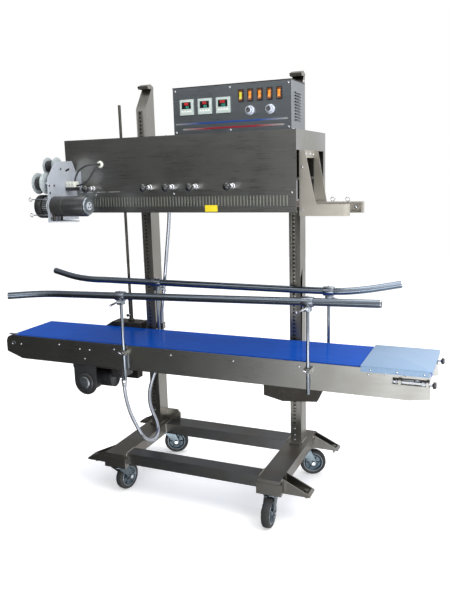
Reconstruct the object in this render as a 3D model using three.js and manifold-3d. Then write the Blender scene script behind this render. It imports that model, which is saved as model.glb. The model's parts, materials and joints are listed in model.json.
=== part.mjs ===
// Vertical continuous band sealer: a wheeled frame with two posts, a sealing head with a
// control box and a coder, and a belt conveyor below it that carries the filled bags.
// Millimetres, +Z up. X runs along the belt, Y runs from the operator's side to the back,
// and the origin is the middle of the footprint, on the floor.
import * as THREE from "three";
import { mergeVertices } from "three/addons/utils/BufferGeometryUtils.js";
import Module from "manifold-3d";

const wasm = await Module();
wasm.setup();

// ---------------------------------------------------------------- driving dimensions
const GAP = 0.3; // left between pieces that touch

const WHEEL_R = 50;
const WHEEL_WIDTH = 30;
const CASTER_TRAIL = 36;
const CASTER_TOP = 109.7;
const CASTER_X = 300;
const CASTER_FRONT_Y = -138;
const CASTER_REAR_Y = 240;

const FOOT_X = 300;
const FOOT_HALF = 40;
const FOOT_FRONT = -168;
const FOOT_REAR = 285;
const FOOT_BOTTOM = 122;
const FOOT_TOP = 164;
const FOOT_WALL = 6;
const FRONT_BEAM = [-150, -95];
const REAR_BEAM = [155, 233];

const POST_X = 298.5;
const POST_HALF = 20.5;
const POST_FRONT = 146;
const POST_REAR = 212;
const POST_SHOULDER = 1411;
const POST_TOP = 1486;
const POST_CLEARANCE = 2.5;
const RACK_X = -4.5;

const CONVEYOR_HALF = 800;
const PLATE_OUT = 124;
const PLATE_IN = 121;
const PLATE_BOTTOM = 478;
const PLATE_TOP = 569;
const ROLLER_Z = 538;
const ROLLER_R = 29.7;
const BELT_IN_R = 30;
const BELT_OUT_R = 33;
const BELT_HALF = 119;
const DRIVE_ROLLER_X = -764;
const TAIL_ROLLER_X = 762;
const AXLE_R = 8;

const RAIL_R = 12.5;
const RAIL_ROD_R = 5.5;
const RAIL_Y = 131;
const CLAMP_Z = 544;

const HEAD_LEFT = -458;
const HEAD_RIGHT = 388;
const HEAD_FRONT = -120;
const HEAD_REAR = 223;
const HEAD_BOTTOM = 1043;
const HEAD_BREAK = 1114;
const HEAD_TOP = 1293;
const SHEET = 3;

const CHASSIS_Z = 1140;
const DECK_TOP = 1148;
const BAND_WHEEL_R = 38;
const BAND_THICKNESS = 1.2;
const BAND_CLEARANCE = 0.7;
const BAND_BOTTOM = 1058;
const BAND_HEIGHT = 18;
const BAND_INFEED_X = 335;
const BAND_DRIVE_X = -400;

const ADJUSTER_Z = 1127;
const ADJUSTER_X = [-349, -121, -38, 48, 178];

const BOX_LEFT = -25;
const BOX_RIGHT = 373;
const BOX_FRONT = -115;
const BOX_REAR = 20;
const BOX_TOP = 1436;
const CONTROLLER_X = [25.3, 88.8, 151.7];
const CONTROLLER_Z = 1376;
const CONTROLLER_HALF = 24;
const CONTROLLER_BODY = 22;
const ROCKER_X = [211, 241.5, 273, 304.5, 335];
const ROCKER_Z = 1400;
const KNOB_X = [240, 305.5];
const KNOB_Z = 1355;

const LIFT_ROD_X = -400;
const LIFT_ROD_Y = 160;

const HOSE_R = 7;
const HOSE_CLAMP = [-259, 160];
const HOSE_CLAMP_Z = [566, 590];
const HOSE_HEAD = [-204, 160];
const HOSE_HEAD_Z = 1080;
const HOSE_DRIVE = [-335, -20];
const HOSE_DRIVE_Z = 400;
const HOSE_SIDES = 8;

const CODER_X = -418;
const CODER_SHEET = 6;
const SPOOL_X = -472.3;
const CODER_AXIS = [-248.4, 1072.9];
const GROMMET = [-314, 1208];
const CABLE_R = 3;

// ---------------------------------------------------------------- solids
// A closed three.js geometry as a manifold-3d solid, which the boolean calls join and cut.
function solid(geometry) {
  const bare = new THREE.BufferGeometry();
  const source = geometry.index ? geometry.toNonIndexed() : geometry;
  bare.setAttribute("position", source.getAttribute("position"));
  const merged = mergeVertices(bare, 1e-4);
  const corners = Array.from(merged.index.array);
  const triangles = [];
  for (let i = 0; i < corners.length; i += 3) {
    const [a, b, c] = corners.slice(i, i + 3);
    if (a !== b && b !== c && c !== a) triangles.push(a, b, c);
  }
  return new wasm.Manifold(
    new wasm.Mesh({
      numProp: 3,
      vertProperties: merged.getAttribute("position").array,
      triVerts: new Uint32Array(triangles),
    }),
  );
}

// The solid's triangles as a three.js geometry.
function surface(body) {
  const mesh = body.getMesh();
  const geometry = new THREE.BufferGeometry();
  geometry.setAttribute("position", new THREE.BufferAttribute(mesh.vertProperties, 3));
  geometry.setIndex(new THREE.BufferAttribute(mesh.triVerts, 1));
  geometry.computeVertexNormals();
  return geometry;
}

function join(...bodies) {
  return bodies.reduce((all, body) => all.add(body));
}

function cut(body, ...tools) {
  return tools.reduce((rest, tool) => rest.subtract(tool), body);
}

function box(xa, xb, ya, yb, za, zb) {
  const size = [Math.abs(xb - xa), Math.abs(yb - ya), Math.abs(zb - za)];
  const geometry = new THREE.BoxGeometry(...size);
  geometry.translate((xa + xb) / 2, (ya + yb) / 2, (za + zb) / 2);
  return solid(geometry);
}

function outline(points) {
  return new THREE.Shape(points.map(([a, b]) => new THREE.Vector2(a, b)));
}

function extruded(points, depth) {
  return new THREE.ExtrudeGeometry(outline(points), { depth, bevelEnabled: false });
}

// An outline in X and Y, from za up to zb.
function prismZ(points, za, zb) {
  return solid(extruded(points, zb - za).translate(0, 0, za));
}

// An outline in X and Z, from ya back to yb.
function prismY(points, ya, yb) {
  return solid(extruded(points, yb - ya).rotateX(Math.PI / 2).translate(0, yb, 0));
}

// An outline in Y and Z, from xa along to xb.
function prismX(points, xa, xb) {
  const turn = new THREE.Matrix4().set(0, 0, 1, xa, 1, 0, 0, 0, 0, 1, 0, 0, 0, 0, 0, 1);
  return solid(extruded(points, xb - xa).applyMatrix4(turn));
}

// A round bar from one point to another.
function rod(from, to, radius, sides = 12) {
  const a = new THREE.Vector3(...from);
  const b = new THREE.Vector3(...to);
  const along = b.clone().sub(a);
  const geometry = new THREE.CylinderGeometry(radius, radius, along.length(), sides);
  const up = new THREE.Vector3(0, 1, 0);
  geometry.applyQuaternion(new THREE.Quaternion().setFromUnitVectors(up, along.normalize()));
  const middle = a.add(b).multiplyScalar(0.5);
  return solid(geometry.translate(middle.x, middle.y, middle.z));
}

// A turned piece on the X axis: pairs of radius and place along X, from axis to axis.
function turnedX(profile, sides) {
  const points = profile.map(([radius, place]) => new THREE.Vector2(radius, place));
  return solid(new THREE.LatheGeometry(points, sides).rotateZ(-Math.PI / 2));
}

// A tube along a smooth line through the points.
function tube(points, radius, steps, sides) {
  const corners = points.map((point) => new THREE.Vector3(...point));
  const path = new THREE.CatmullRomCurve3(corners, false, "centripetal");
  const ring = Array.from({ length: sides }, (_, i) => {
    const turn = (2 * Math.PI * i) / sides;
    return [radius * Math.cos(turn), radius * Math.sin(turn)];
  });
  return solid(new THREE.ExtrudeGeometry(outline(ring), { steps, extrudePath: path }));
}

// The outline of a slot with round ends, between two centres on one line.
function stadium(xa, xb, y, radius) {
  const arcSteps = 12;
  const points = [];
  for (let i = 0; i <= arcSteps; i += 1) {
    const turn = Math.PI / 2 + (Math.PI * i) / arcSteps;
    points.push([xa + radius * Math.cos(turn), y + radius * Math.sin(turn)]);
  }
  for (let i = 0; i <= arcSteps; i += 1) {
    const turn = -Math.PI / 2 + (Math.PI * i) / arcSteps;
    points.push([xb + radius * Math.cos(turn), y + radius * Math.sin(turn)]);
  }
  return points;
}

// ---------------------------------------------------------------- materials
function metal(color, roughness) {
  return new THREE.MeshStandardMaterial({ color, roughness, metalness: 1 });
}

function plastic(color, roughness) {
  return new THREE.MeshStandardMaterial({ color, roughness, metalness: 0 });
}

const brushedSteel = () => metal(0x8f8d86, 0.35);
const darkSteel = () => metal(0x3c3b38, 0.45);
const brightSteel = () => metal(0xc9cccd, 0.2);
const zincPlate = () => metal(0x9aa3a8, 0.4);
const aluminium = () => metal(0xb9bdc0, 0.4);
const coatedSheet = () => metal(0xc4ccd6, 0.45);
const blackRubber = () => plastic(0x161616, 0.75);
const blackPlastic = () => plastic(0x1b1c1f, 0.4);
const blackPaint = () => plastic(0x24262b, 0.5);
const orangePlastic = () => plastic(0xd9731a, 0.3);
const limePlastic = () => plastic(0xb8c43a, 0.3);
const silverPlastic = () => plastic(0xb8bdc6, 0.35);
const greyPlastic = () => plastic(0xaab9b8, 0.5);
const whitePlastic = () => plastic(0xdfe8f0, 0.45);
const blueBelt = () => plastic(0x0a3fae, 0.25);
const bandCloth = () => plastic(0x7a5a36, 0.6);

// ---------------------------------------------------------------- scene graph
const machine = new THREE.Group();
const frame = new THREE.Group();
const head = new THREE.Group();
const conveyor = new THREE.Group();
machine.add(frame, head, conveyor);

function part(group, name, body, material, place = [0, 0, 0]) {
  const mesh = new THREE.Mesh(surface(body), material());
  mesh.name = name;
  mesh.position.set(...place);
  group.add(mesh);
  return mesh;
}

// ---------------------------------------------------------------- wheeled frame
// A wedge bracket beside the foot: two cheeks, a floor and a tip, open on its slope,
// with a levelling bolt through the floor near the tip.
function outrigger(side, ya, yb) {
  const reach = 136;
  const floor = 112;
  const tip = 118;
  const cheek = 5;
  const root = FOOT_HALF - 2;
  const wedge = [[root, FOOT_TOP], [reach, tip], [reach, floor], [root, floor]];
  const hollow = [[root, FOOT_TOP + 10], [root, tip], [reach - 8, tip], [reach - 8, FOOT_TOP + 10]];
  const sided = (points) => points.map(([x, z]) => [side * x, z]);
  const boltX = side * (reach - 20);
  const middle = (ya + yb) / 2;
  return join(
    cut(prismY(sided(wedge), ya, yb), prismY(sided(hollow), ya + cheek, yb - cheek)),
    rod([boltX, middle, floor - 16], [boltX, middle, tip + 1], 5, 8),
    rod([boltX, middle, tip - 1], [boltX, middle, tip + 7], 9, 6),
  );
}

// A channel, open below, with a block for a caster at each end.
function foot(side) {
  const half = FOOT_HALF;
  const inner = half - FOOT_WALL;
  const blockHalf = half + 4;
  const blockReach = 30;
  const blockLow = CASTER_TOP + GAP;
  const channel = cut(
    box(-half, half, FOOT_FRONT, FOOT_REAR, FOOT_BOTTOM, FOOT_TOP),
    box(-inner, inner, FOOT_FRONT + FOOT_WALL, FOOT_REAR - FOOT_WALL, 100, FOOT_TOP - FOOT_WALL),
  );
  const blocks = [CASTER_FRONT_Y, CASTER_REAR_Y].map((y) =>
    box(-inner - 1, inner + 1, y - blockReach, y + blockReach, blockLow, FOOT_TOP - 1),
  );
  const wide = [[FOOT_FRONT - 2, FRONT_BEAM[0] - GAP], [REAR_BEAM[1] + GAP, CASTER_REAR_Y + blockReach]];
  for (const [ya, yb] of wide) blocks.push(box(-blockHalf, blockHalf, ya, yb, blockLow, 150));
  const front = outrigger(side, FRONT_BEAM[0] + 4, FRONT_BEAM[1] + 5);
  const rear = outrigger(side, CASTER_REAR_Y, FOOT_REAR - 3);
  return join(channel, ...blocks, front, rear);
}

// A square tube between the feet.
function beam(ya, yb) {
  const half = FOOT_X - FOOT_HALF - GAP;
  const wall = 4;
  return cut(
    box(-half, half, ya, yb, FOOT_BOTTOM, FOOT_TOP),
    box(-half - 1, half + 1, ya + wall, yb - wall, FOOT_BOTTOM + wall, FOOT_TOP - wall),
  );
}

// A box-section post with a sloping shoulder, a latch plate on top and a groove for the rack.
function post(side) {
  const half = POST_HALF;
  const groove = 6;
  const profile = [
    [POST_FRONT, FOOT_TOP + GAP],
    [POST_REAR, FOOT_TOP + GAP],
    [POST_REAR, POST_TOP],
    [POST_REAR - 14, POST_TOP],
    [POST_FRONT, POST_SHOULDER],
  ];
  const cap = [
    [POST_REAR, POST_TOP - 1],
    [POST_REAR, POST_TOP + 8],
    [POST_REAR - 20, POST_TOP + 16],
    [POST_REAR - 46, POST_TOP + 8],
    [POST_REAR - 40, POST_TOP - 2],
    [POST_REAR - 14, POST_TOP - 1],
  ];
  const slot = box(RACK_X - 6, RACK_X + 6, POST_FRONT - 1, POST_FRONT + groove, 300, 1400);
  const base = box(-half, half, POST_FRONT - 18, POST_FRONT, FOOT_TOP + GAP, FOOT_TOP + 8);
  const body = join(cut(prismX(profile, -half, half), slot), base, prismX(cap, -half - 1, half + 1));
  if (side > 0) return body;
  const [clampX, clampY] = HOSE_CLAMP;
  const [clampLow, clampHigh] = HOSE_CLAMP_Z;
  const clamp = box(half - 1, clampX + POST_X + 10, clampY - 10, clampY + 10, clampLow, clampHigh);
  const gusset = prismY(
    [[half - 1, FOOT_TOP + GAP], [80, FOOT_TOP + GAP], [80, 196], [68, 210], [half - 1, 210]],
    POST_REAR - 8,
    POST_REAR,
  );
  return join(body, clamp, gusset);
}

part(frame, "left_foot", foot(-1), brushedSteel, [-FOOT_X, 0, 0]);
part(frame, "right_foot", foot(1), brushedSteel, [FOOT_X, 0, 0]);
part(frame, "front_beam", beam(...FRONT_BEAM), brushedSteel);
part(frame, "rear_beam", beam(...REAR_BEAM), brushedSteel);
part(frame, "left_post", post(-1), brushedSteel, [-POST_X, 0, 0]);
part(frame, "right_post", post(1), brushedSteel, [POST_X, 0, 0]);

// A swivel fork: a top plate, a race and two cheeks that carry the axle, trailing along +X.
function casterFork() {
  const trail = CASTER_TRAIL;
  const inner = WHEEL_WIDTH / 2 + 1.5;
  const outer = inner + 3.5;
  const crown = WHEEL_R * 2 + 2.5;
  const cheek = [[-22, CASTER_TOP - 3], [26, CASTER_TOP - 3], [trail + 12, WHEEL_R - 4]]
    .concat([[trail + 4, WHEEL_R - 12], [trail - 10, WHEEL_R - 8]]);
  return join(
    rod([0, 0, CASTER_TOP - 4], [0, 0, CASTER_TOP], 34, 16),
    box(-22, 26, -outer, outer, crown, CASTER_TOP - 3),
    prismY(cheek, inner, outer),
    prismY(cheek, -outer, -inner),
  );
}

// A tyre and hub in one, turning on an axle between the cheeks.
function casterWheel() {
  const half = WHEEL_WIDTH / 2;
  const profile = [
    [0, -half - 1],
    [14, -half - 1],
    [18, -half + 3],
    [45, -half],
    [WHEEL_R, -half + 7],
    [WHEEL_R, half - 7],
    [45, half],
    [18, half - 3],
    [14, half + 1],
    [0, half + 1],
  ];
  return turnedX(profile, 20);
}

// Each caster stands swivelled its own way, as casters come to rest.
const CASTERS = [
  ["fl", -CASTER_X, CASTER_FRONT_Y, 80],
  ["fr", CASTER_X, CASTER_FRONT_Y, -87],
  ["rl", -CASTER_X, CASTER_REAR_Y, 23],
  ["rr", CASTER_X, CASTER_REAR_Y, 23],
];

for (const [tag, x, y, swivel] of CASTERS) {
  const caster = new THREE.Group();
  caster.position.set(x, y, 0);
  caster.rotation.z = THREE.MathUtils.degToRad(swivel);
  frame.add(caster);
  part(caster, `caster_fork_${tag}`, casterFork(), zincPlate);
  const axle = new THREE.Group();
  axle.position.set(CASTER_TRAIL, 0, WHEEL_R);
  axle.rotation.z = Math.PI / 2;
  caster.add(axle);
  part(axle, `caster_wheel_${tag}`, casterWheel(), blackRubber);
}

// ---------------------------------------------------------------- sealing head
// Clearance round a post, between two heights.
function postHole(side, margin, za, zb) {
  return box(
    side * POST_X - POST_HALF - margin,
    side * POST_X + POST_HALF + margin,
    POST_FRONT - margin,
    POST_REAR + margin,
    za,
    zb,
  );
}

function liftRodHole(za, zb) {
  return rod([LIFT_ROD_X, LIFT_ROD_Y, za], [LIFT_ROD_X, LIFT_ROD_Y, zb], 9, 12);
}

// Band wheel places: name, X, and the side of the seam that the wheel's band runs on.
const WHEEL_Y = BAND_CLEARANCE + BAND_THICKNESS + GAP + BAND_WHEEL_R;
const BAND_WHEELS = [
  ["band_wheel_front_infeed", BAND_INFEED_X, -WHEEL_Y],
  ["band_wheel_front_drive", BAND_DRIVE_X, -WHEEL_Y],
  ["band_wheel_rear_infeed", BAND_INFEED_X, WHEEL_Y],
  ["band_wheel_rear_drive", BAND_DRIVE_X, WHEEL_Y],
];

// The deck that carries the works, with a sleeve that slides on each post.
function headChassis() {
  const deck = box(HEAD_LEFT + 5, HEAD_RIGHT - 5, HEAD_FRONT + 5, HEAD_REAR - 5, CHASSIS_Z, DECK_TOP);
  const sleeves = [-1, 1].map((side) => postHole(side, 7, CHASSIS_Z, 1275));
  const holes = [-1, 1].map((side) => postHole(side, POST_CLEARANCE, 1000, 1300));
  const shafts = BAND_WHEELS.map(([, x, y]) => rod([x, y, 1130], [x, y, 1160], 9));
  const [hoseX, hoseY] = HOSE_HEAD;
  const gland = rod([hoseX, hoseY, HOSE_HEAD_Z + GAP], [hoseX, hoseY, 1141], 11, 8);
  return cut(join(deck, ...sleeves, gland), ...holes, ...shafts, liftRodHole(1130, 1160));
}

// The folded sheet hood: front, left end, back, top, and a band over the infeed window.
function headCover() {
  const low = HEAD_BREAK + GAP;
  const rearLow = 1050;
  const bandLow = 1231;
  const stripFront = 198;
  const inside = HEAD_TOP - SHEET;
  const walls = [
    box(HEAD_LEFT, HEAD_RIGHT, HEAD_FRONT, HEAD_FRONT + SHEET, low, HEAD_TOP),
    box(HEAD_LEFT, HEAD_RIGHT, HEAD_FRONT, HEAD_REAR, inside, HEAD_TOP),
    box(HEAD_LEFT, HEAD_LEFT + SHEET, HEAD_FRONT, HEAD_REAR, low, HEAD_TOP),
    box(HEAD_LEFT, HEAD_RIGHT, HEAD_REAR - SHEET, HEAD_REAR, rearLow, HEAD_TOP),
    box(HEAD_RIGHT - SHEET, HEAD_RIGHT, HEAD_FRONT, HEAD_REAR, bandLow, HEAD_TOP),
    box(HEAD_RIGHT - SHEET, HEAD_RIGHT, stripFront, HEAD_REAR, rearLow, HEAD_TOP),
  ];
  const holes = [-1, 1].map((side) => postHole(side, 6, inside - 1, HEAD_TOP + 1));
  const studs = ADJUSTER_X.map((x) =>
    rod([x, HEAD_FRONT - 1, ADJUSTER_Z], [x, HEAD_FRONT + SHEET + 1, ADJUSTER_Z], 7),
  );
  return cut(join(...walls), ...holes, ...studs, liftRodHole(inside - 1, HEAD_TOP + 1));
}

// The lower skirt with its row of upright vent slots.
function slotGuard() {
  const high = HEAD_BREAK - GAP;
  const back = HEAD_FRONT + SHEET;
  const sheets = join(
    box(HEAD_LEFT, HEAD_RIGHT, HEAD_FRONT, back, HEAD_BOTTOM, high),
    box(HEAD_LEFT, HEAD_LEFT + SHEET, HEAD_FRONT, -50, HEAD_BOTTOM, high),
    box(HEAD_LEFT, HEAD_RIGHT, HEAD_FRONT, -105, HEAD_BOTTOM, HEAD_BOTTOM + SHEET),
  );
  const slots = [];
  const pitch = 11;
  const count = 73;
  const first = -436;
  for (let i = 0; i < count; i += 1) {
    const x = first + i * pitch;
    slots.push(box(x, x + 4.5, HEAD_FRONT - 1, back + 1, 1063, 1096));
  }
  return cut(sheets, ...slots);
}

// An endless band round its two wheels, seen from above as a slim ring.
function sealingBand(y) {
  const outer = BAND_WHEEL_R + GAP + BAND_THICKNESS;
  const inner = BAND_WHEEL_R + GAP;
  const high = BAND_BOTTOM + BAND_HEIGHT;
  return cut(
    prismZ(stadium(BAND_DRIVE_X, BAND_INFEED_X, y, outer), BAND_BOTTOM, high),
    prismZ(stadium(BAND_DRIVE_X, BAND_INFEED_X, y, inner), BAND_BOTTOM - 1, high + 1),
  );
}

// A flat pulley on an upright shaft that hangs from the deck.
function bandWheel() {
  const low = BAND_BOTTOM - 1;
  return join(
    rod([0, 0, low], [0, 0, low + BAND_HEIGHT + 2], BAND_WHEEL_R, 24),
    rod([0, 0, low], [0, 0, 1147], 7),
  );
}

// Heating and cooling blocks on both sides of the bands, hung from one carrier bar.
function sealingBlocks() {
  const face = BAND_CLEARANCE + BAND_THICKNESS + GAP;
  const back = 22;
  const runs = [[-140, -10], [30, 200]];
  const blocks = runs.flatMap(([xa, xb]) => [
    box(xa, xb, face, back, BAND_BOTTOM, 1101),
    box(xa, xb, -back, -face, BAND_BOTTOM, 1101),
  ]);
  const carrier = box(-140, 200, -24, 24, 1100, 1110);
  const hangers = [-90, 140].map((x) => box(x, x + 20, -10, 10, 1109, CHASSIS_Z - GAP));
  return join(carrier, ...blocks, ...hangers);
}

// Gearbox and motor that turn the drive wheels, standing on the deck.
function bandMotor() {
  const base = DECK_TOP + GAP;
  return join(
    box(-440, -372, -95, 55, base, 1210),
    rod([-380, -20, 1190], [-225, -20, 1190], 34, 16),
    box(-360, -240, -40, 0, base, 1160),
    box(-310, -290, -20, 0, 1155, 1170),
  );
}

// A press-screw knob: a bright collar on the hood and a black ball on a stem.
function adjuster() {
  return join(
    rod([0, 22, 0], [0, -48, 0], 4.5, 8),
    rod([0, -GAP, 0], [0, -20, 0], 8, 10),
    solid(new THREE.SphereGeometry(11, 8, 6).translate(0, -50, 0)),
  );
}

part(head, "head_chassis", headChassis(), darkSteel);
part(head, "head_cover", headCover(), brushedSteel);
part(head, "slot_guard", slotGuard(), brushedSteel);
part(head, "sealing_band_front", sealingBand(-WHEEL_Y), bandCloth);
part(head, "sealing_band_rear", sealingBand(WHEEL_Y), bandCloth);
for (const [name, x, y] of BAND_WHEELS) part(head, name, bandWheel(), brightSteel, [x, y, 0]);
part(head, "sealing_blocks", sealingBlocks(), aluminium);
part(head, "band_motor", bandMotor(), blackPaint);
ADJUSTER_X.forEach((x, i) => {
  part(head, `adjuster_${i + 1}`, adjuster(), blackPlastic, [x, HEAD_FRONT, ADJUSTER_Z]);
});

// ---------------------------------------------------------------- infeed guide
// Two guide bars with gusset plates, joined by a tie plate that bolts under the window band.
function infeedGuide() {
  const root = HEAD_RIGHT + GAP;
  const low = 1030;
  const high = 1066;
  const top = 1231;
  const frontY = -91;
  const rearY = 75;
  const lead = [[root, frontY], [526, frontY], [536, frontY + 3], [544, frontY + 12]]
    .concat([[541, frontY + 14], [534, frontY + 6], [526, frontY + 3], [root, frontY + 3]]);
  return join(
    prismZ(lead, low, high),
    prismY([[root, low], [440, high - 1], [440, high], [406, top], [root, top]], frontY, frontY + 3),
    box(root, 556, rearY, rearY + 3, low, high),
    box(root, 556, rearY - 20, rearY + 3, high - 3, high),
    box(root, 556, rearY - 20, rearY + 3, low, low + 3),
    box(550, 556, rearY - 20, rearY + 3, low, high),
    prismY([[root, low], [432, high - 1], [432, high], [402, top], [root, top]], rearY, rearY + 3),
    box(root, root + SHEET, frontY, rearY + 3, 1208, top),
  );
}

part(head, "infeed_guide", infeedGuide(), brushedSteel);

// ---------------------------------------------------------------- control box
// A sheet box, open below on the hood, with cut-outs for its instruments and side louvres.
function controlBox() {
  const wall = 2;
  const base = HEAD_TOP + GAP;
  const shell = cut(
    box(BOX_LEFT, BOX_RIGHT, BOX_FRONT, BOX_REAR, base, BOX_TOP),
    box(
      BOX_LEFT + wall, BOX_RIGHT - wall, BOX_FRONT + wall, BOX_REAR - wall, base - 1, BOX_TOP - wall,
    ),
  );
  const through = [BOX_FRONT - 1, BOX_FRONT + wall + 1];
  const window = CONTROLLER_BODY + 0.5;
  const windows = CONTROLLER_X.map((x) =>
    box(x - window, x + window, ...through, CONTROLLER_Z - window, CONTROLLER_Z + window),
  );
  const switches = ROCKER_X.map((x) => box(x - 7, x + 7, ...through, ROCKER_Z - 17, ROCKER_Z + 17));
  const shafts = KNOB_X.map((x) => rod([x, through[0], KNOB_Z], [x, through[1], KNOB_Z], 4.5, 8));
  const louvres = [];
  for (let i = 0; i < 10; i += 1) {
    const z = 1320 + i * 9;
    louvres.push(box(BOX_RIGHT - wall - 1, BOX_RIGHT + 1, -78, -12, z, z + 3));
  }
  return cut(shell, ...windows, ...switches, ...shafts, ...louvres);
}

// Three temperature controllers, clamped behind the panel to one mounting rail.
function controllerBank() {
  const bezelBack = BOX_FRONT - GAP;
  const square = (x, half, ya, yb) =>
    box(x - half, x + half, ya, yb, CONTROLLER_Z - half, CONTROLLER_Z + half);
  const bodies = CONTROLLER_X.flatMap((x) => [
    square(x, CONTROLLER_HALF, bezelBack - 6, bezelBack),
    square(x, CONTROLLER_BODY, bezelBack - 1, BOX_FRONT + 62),
  ]);
  const [first, , last] = CONTROLLER_X;
  const rail = box(first - 20, last + 20, -75, -65, CONTROLLER_Z - 10, CONTROLLER_Z + 10);
  return join(...bodies, rail);
}

// A rocker cap, hinged on its middle line at the panel.
function rocker() {
  const profile = [[7, -6], [-3, -15], [-7, -15], [-3.5, 0], [-7, 15], [-3, 15], [7, 6]];
  return prismX(profile, -6, 6);
}

// A turned knob with a skirt and a pointer rib.
function speedKnob() {
  return join(
    rod([0, 12, 0], [0, -2, 0], 3.5, 8),
    rod([0, -GAP, 0], [0, -5, 0], 15, 16),
    rod([0, -4, 0], [0, -17, 0], 11, 16),
    box(-1.5, 1.5, -16, -18.5, -10, 10),
  );
}

part(head, "control_box", controlBox(), brushedSteel);
part(head, "controller_bank", controllerBank(), greyPlastic);
ROCKER_X.forEach((x, i) => {
  part(head, `rocker_${i + 1}`, rocker(), i ? orangePlastic : limePlastic, [x, BOX_FRONT, ROCKER_Z]);
});
KNOB_X.forEach((x, i) => {
  part(head, `speed_knob_${i + 1}`, speedKnob(), silverPlastic, [x, BOX_FRONT, KNOB_Z]);
});

// ---------------------------------------------------------------- coder
// The upright plate that carries the coder out in front of the hood, with its foot flange and
// the flange that bolts it to the hood's front.
function coderPlate() {
  const rear = HEAD_FRONT - GAP;
  const profile = [[-283.7, 1021.4], [rear, 1021.4], [rear, 1186.3]]
    .concat([[-138.7, 1222.6], [-228.3, 1220.7], [-272.2, 1165.4]]);
  const foot = [[CODER_X - 1, -281.8], [-331.2, -255], [-331.2, -237.9], [CODER_X - 1, -213.9]];
  return join(
    prismX(profile, CODER_X - CODER_SHEET, CODER_X),
    prismZ(foot, 1021.4, 1025.2),
    box(CODER_X - 1, CODER_X + 22, rear - SHEET, rear, 1124, 1186),
  );
}

// The motor on the plate's right side, with its end ring.
function coderMotor() {
  const [y, z] = CODER_AXIS;
  return join(
    rod([CODER_X + GAP, y, z], [-288.3, y, z], 33.5, 20),
    rod([-289, y, z], [-282.6, y, z], 31.5, 20),
    rod([-283, y, z], [-279.7, y, z], 14.3, 12),
  );
}

// The print drum and the ink roll beside it, on one spindle.
function coderDrum() {
  const [y, z] = CODER_AXIS;
  return join(
    rod([-448.5, y, z], [CODER_X - CODER_SHEET - GAP, y, z], 36.2, 20),
    rod([-477.1, y, z], [-450.4, y, z], 39.1, 20),
    rod([-451, y, z], [-448, y, z], 9.5, 10),
  );
}

// A ribbon spool: two flanges and a core, on a stub from the plate.
function spool(radius, near) {
  return join(
    rod([0, 0, 0], [3, 0, 0], radius, 20),
    rod([2, 0, 0], [near, 0, 0], radius * 0.4, 12),
    rod([near - 3, 0, 0], [near, 0, 0], radius, 20),
    rod([near - 1, 0, 0], [CODER_X - CODER_SHEET - GAP - SPOOL_X, 0, 0], 6, 8),
  );
}

// Two leads from the grommet on the hood to the coder's terminal block.
function coderCables() {
  const [x, z] = GROMMET;
  const start = [x, HEAD_FRONT - 5, z];
  const upper = [start, [-323, -141, 1209], [-337, -153, 1207], [-354, -161, 1201]]
    .concat([[-372, -165, 1189], [-384, -166, 1173], [-388, -168, 1160], [-388, -170, 1150]]);
  const lower = [start, [-315, -138, 1202], [-321, -150, 1188], [-330, -158, 1170]]
    .concat([[-340, -163, 1155], [-354, -168, 1146], [-366, -170, 1141], [-382, -171, 1139]]);
  return join(
    rod([x, HEAD_FRONT - GAP, z], [x, HEAD_FRONT - 7, z], 10, 12),
    tube(upper, CABLE_R, 14, 8),
    tube(lower, CABLE_R, 14, 8),
    box(CODER_X + GAP, -380, -186, -156, 1122, 1154),
  );
}

part(head, "coder_plate", coderPlate(), coatedSheet);
part(head, "coder_motor", coderMotor(), blackPaint);
part(head, "coder_drum", coderDrum(), brightSteel);
part(head, "spool_upper", spool(29.6, 39.1), aluminium, [SPOOL_X, -201.6, 1206.4]);
part(head, "spool_lower", spool(35.3, 34.3), aluminium, [SPOOL_X, -258.9, 1150.1]);
part(head, "coder_cables", coderCables(), blackPlastic);

// ---------------------------------------------------------------- conveyor
const ROD_X = [-257, 426];
const SCREW_Z = 536;
const SCREW_Y = 132;

// Side plates, slider bed, cross members, rod clamps and tension lugs, welded together.
function conveyorFrame() {
  const half = CONVEYOR_HALF;
  const cheek = [[-half, 503], [-728, PLATE_BOTTOM], [740, PLATE_BOTTOM], [half, 488]]
    .concat([[half, PLATE_TOP], [-776, PLATE_TOP], [-793, 560], [-half, 545]]);
  const bedTop = ROLLER_Z + BELT_IN_R - GAP;
  const pieces = [
    prismY(cheek, -PLATE_OUT, -PLATE_IN),
    prismY(cheek, PLATE_IN, PLATE_OUT),
    box(-728, 722, -PLATE_IN - 1, PLATE_IN + 1, bedTop - 4, bedTop),
  ];
  for (const x of [-560, 0, 560]) {
    pieces.push(box(x - 20, x + 20, -PLATE_IN - 1, PLATE_IN + 1, 520, bedTop - 1));
  }
  for (const side of [-1, 1]) {
    for (const x of ROD_X) {
      pieces.push(box(x - 11, x + 11, side * (PLATE_OUT - 1), side * 143, CLAMP_Z - 8, CLAMP_Z + 8));
    }
    for (const x of [712, 792]) {
      pieces.push(box(x - 4, x + 4, side * (PLATE_OUT - 1), side * 141, SCREW_Z - 9, SCREW_Z + 9));
    }
  }
  const holes = [rod([DRIVE_ROLLER_X, -130, ROLLER_Z], [DRIVE_ROLLER_X, 130, ROLLER_Z], 9)];
  for (const side of [-1, 1]) {
    const y = side * RAIL_Y;
    holes.push(
      box(734, half + 1, side * 120, side * 125, ROLLER_Z - 9, ROLLER_Z + 9),
      rod([700, side * SCREW_Y, SCREW_Z], [half, side * SCREW_Y, SCREW_Z], 5, 10),
      ...ROD_X.map((x) => rod([x, y, CLAMP_Z - 9], [x, y, CLAMP_Z + 9], RAIL_ROD_R + 0.7, 12)),
    );
  }
  return cut(join(...pieces), ...holes);
}

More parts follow.
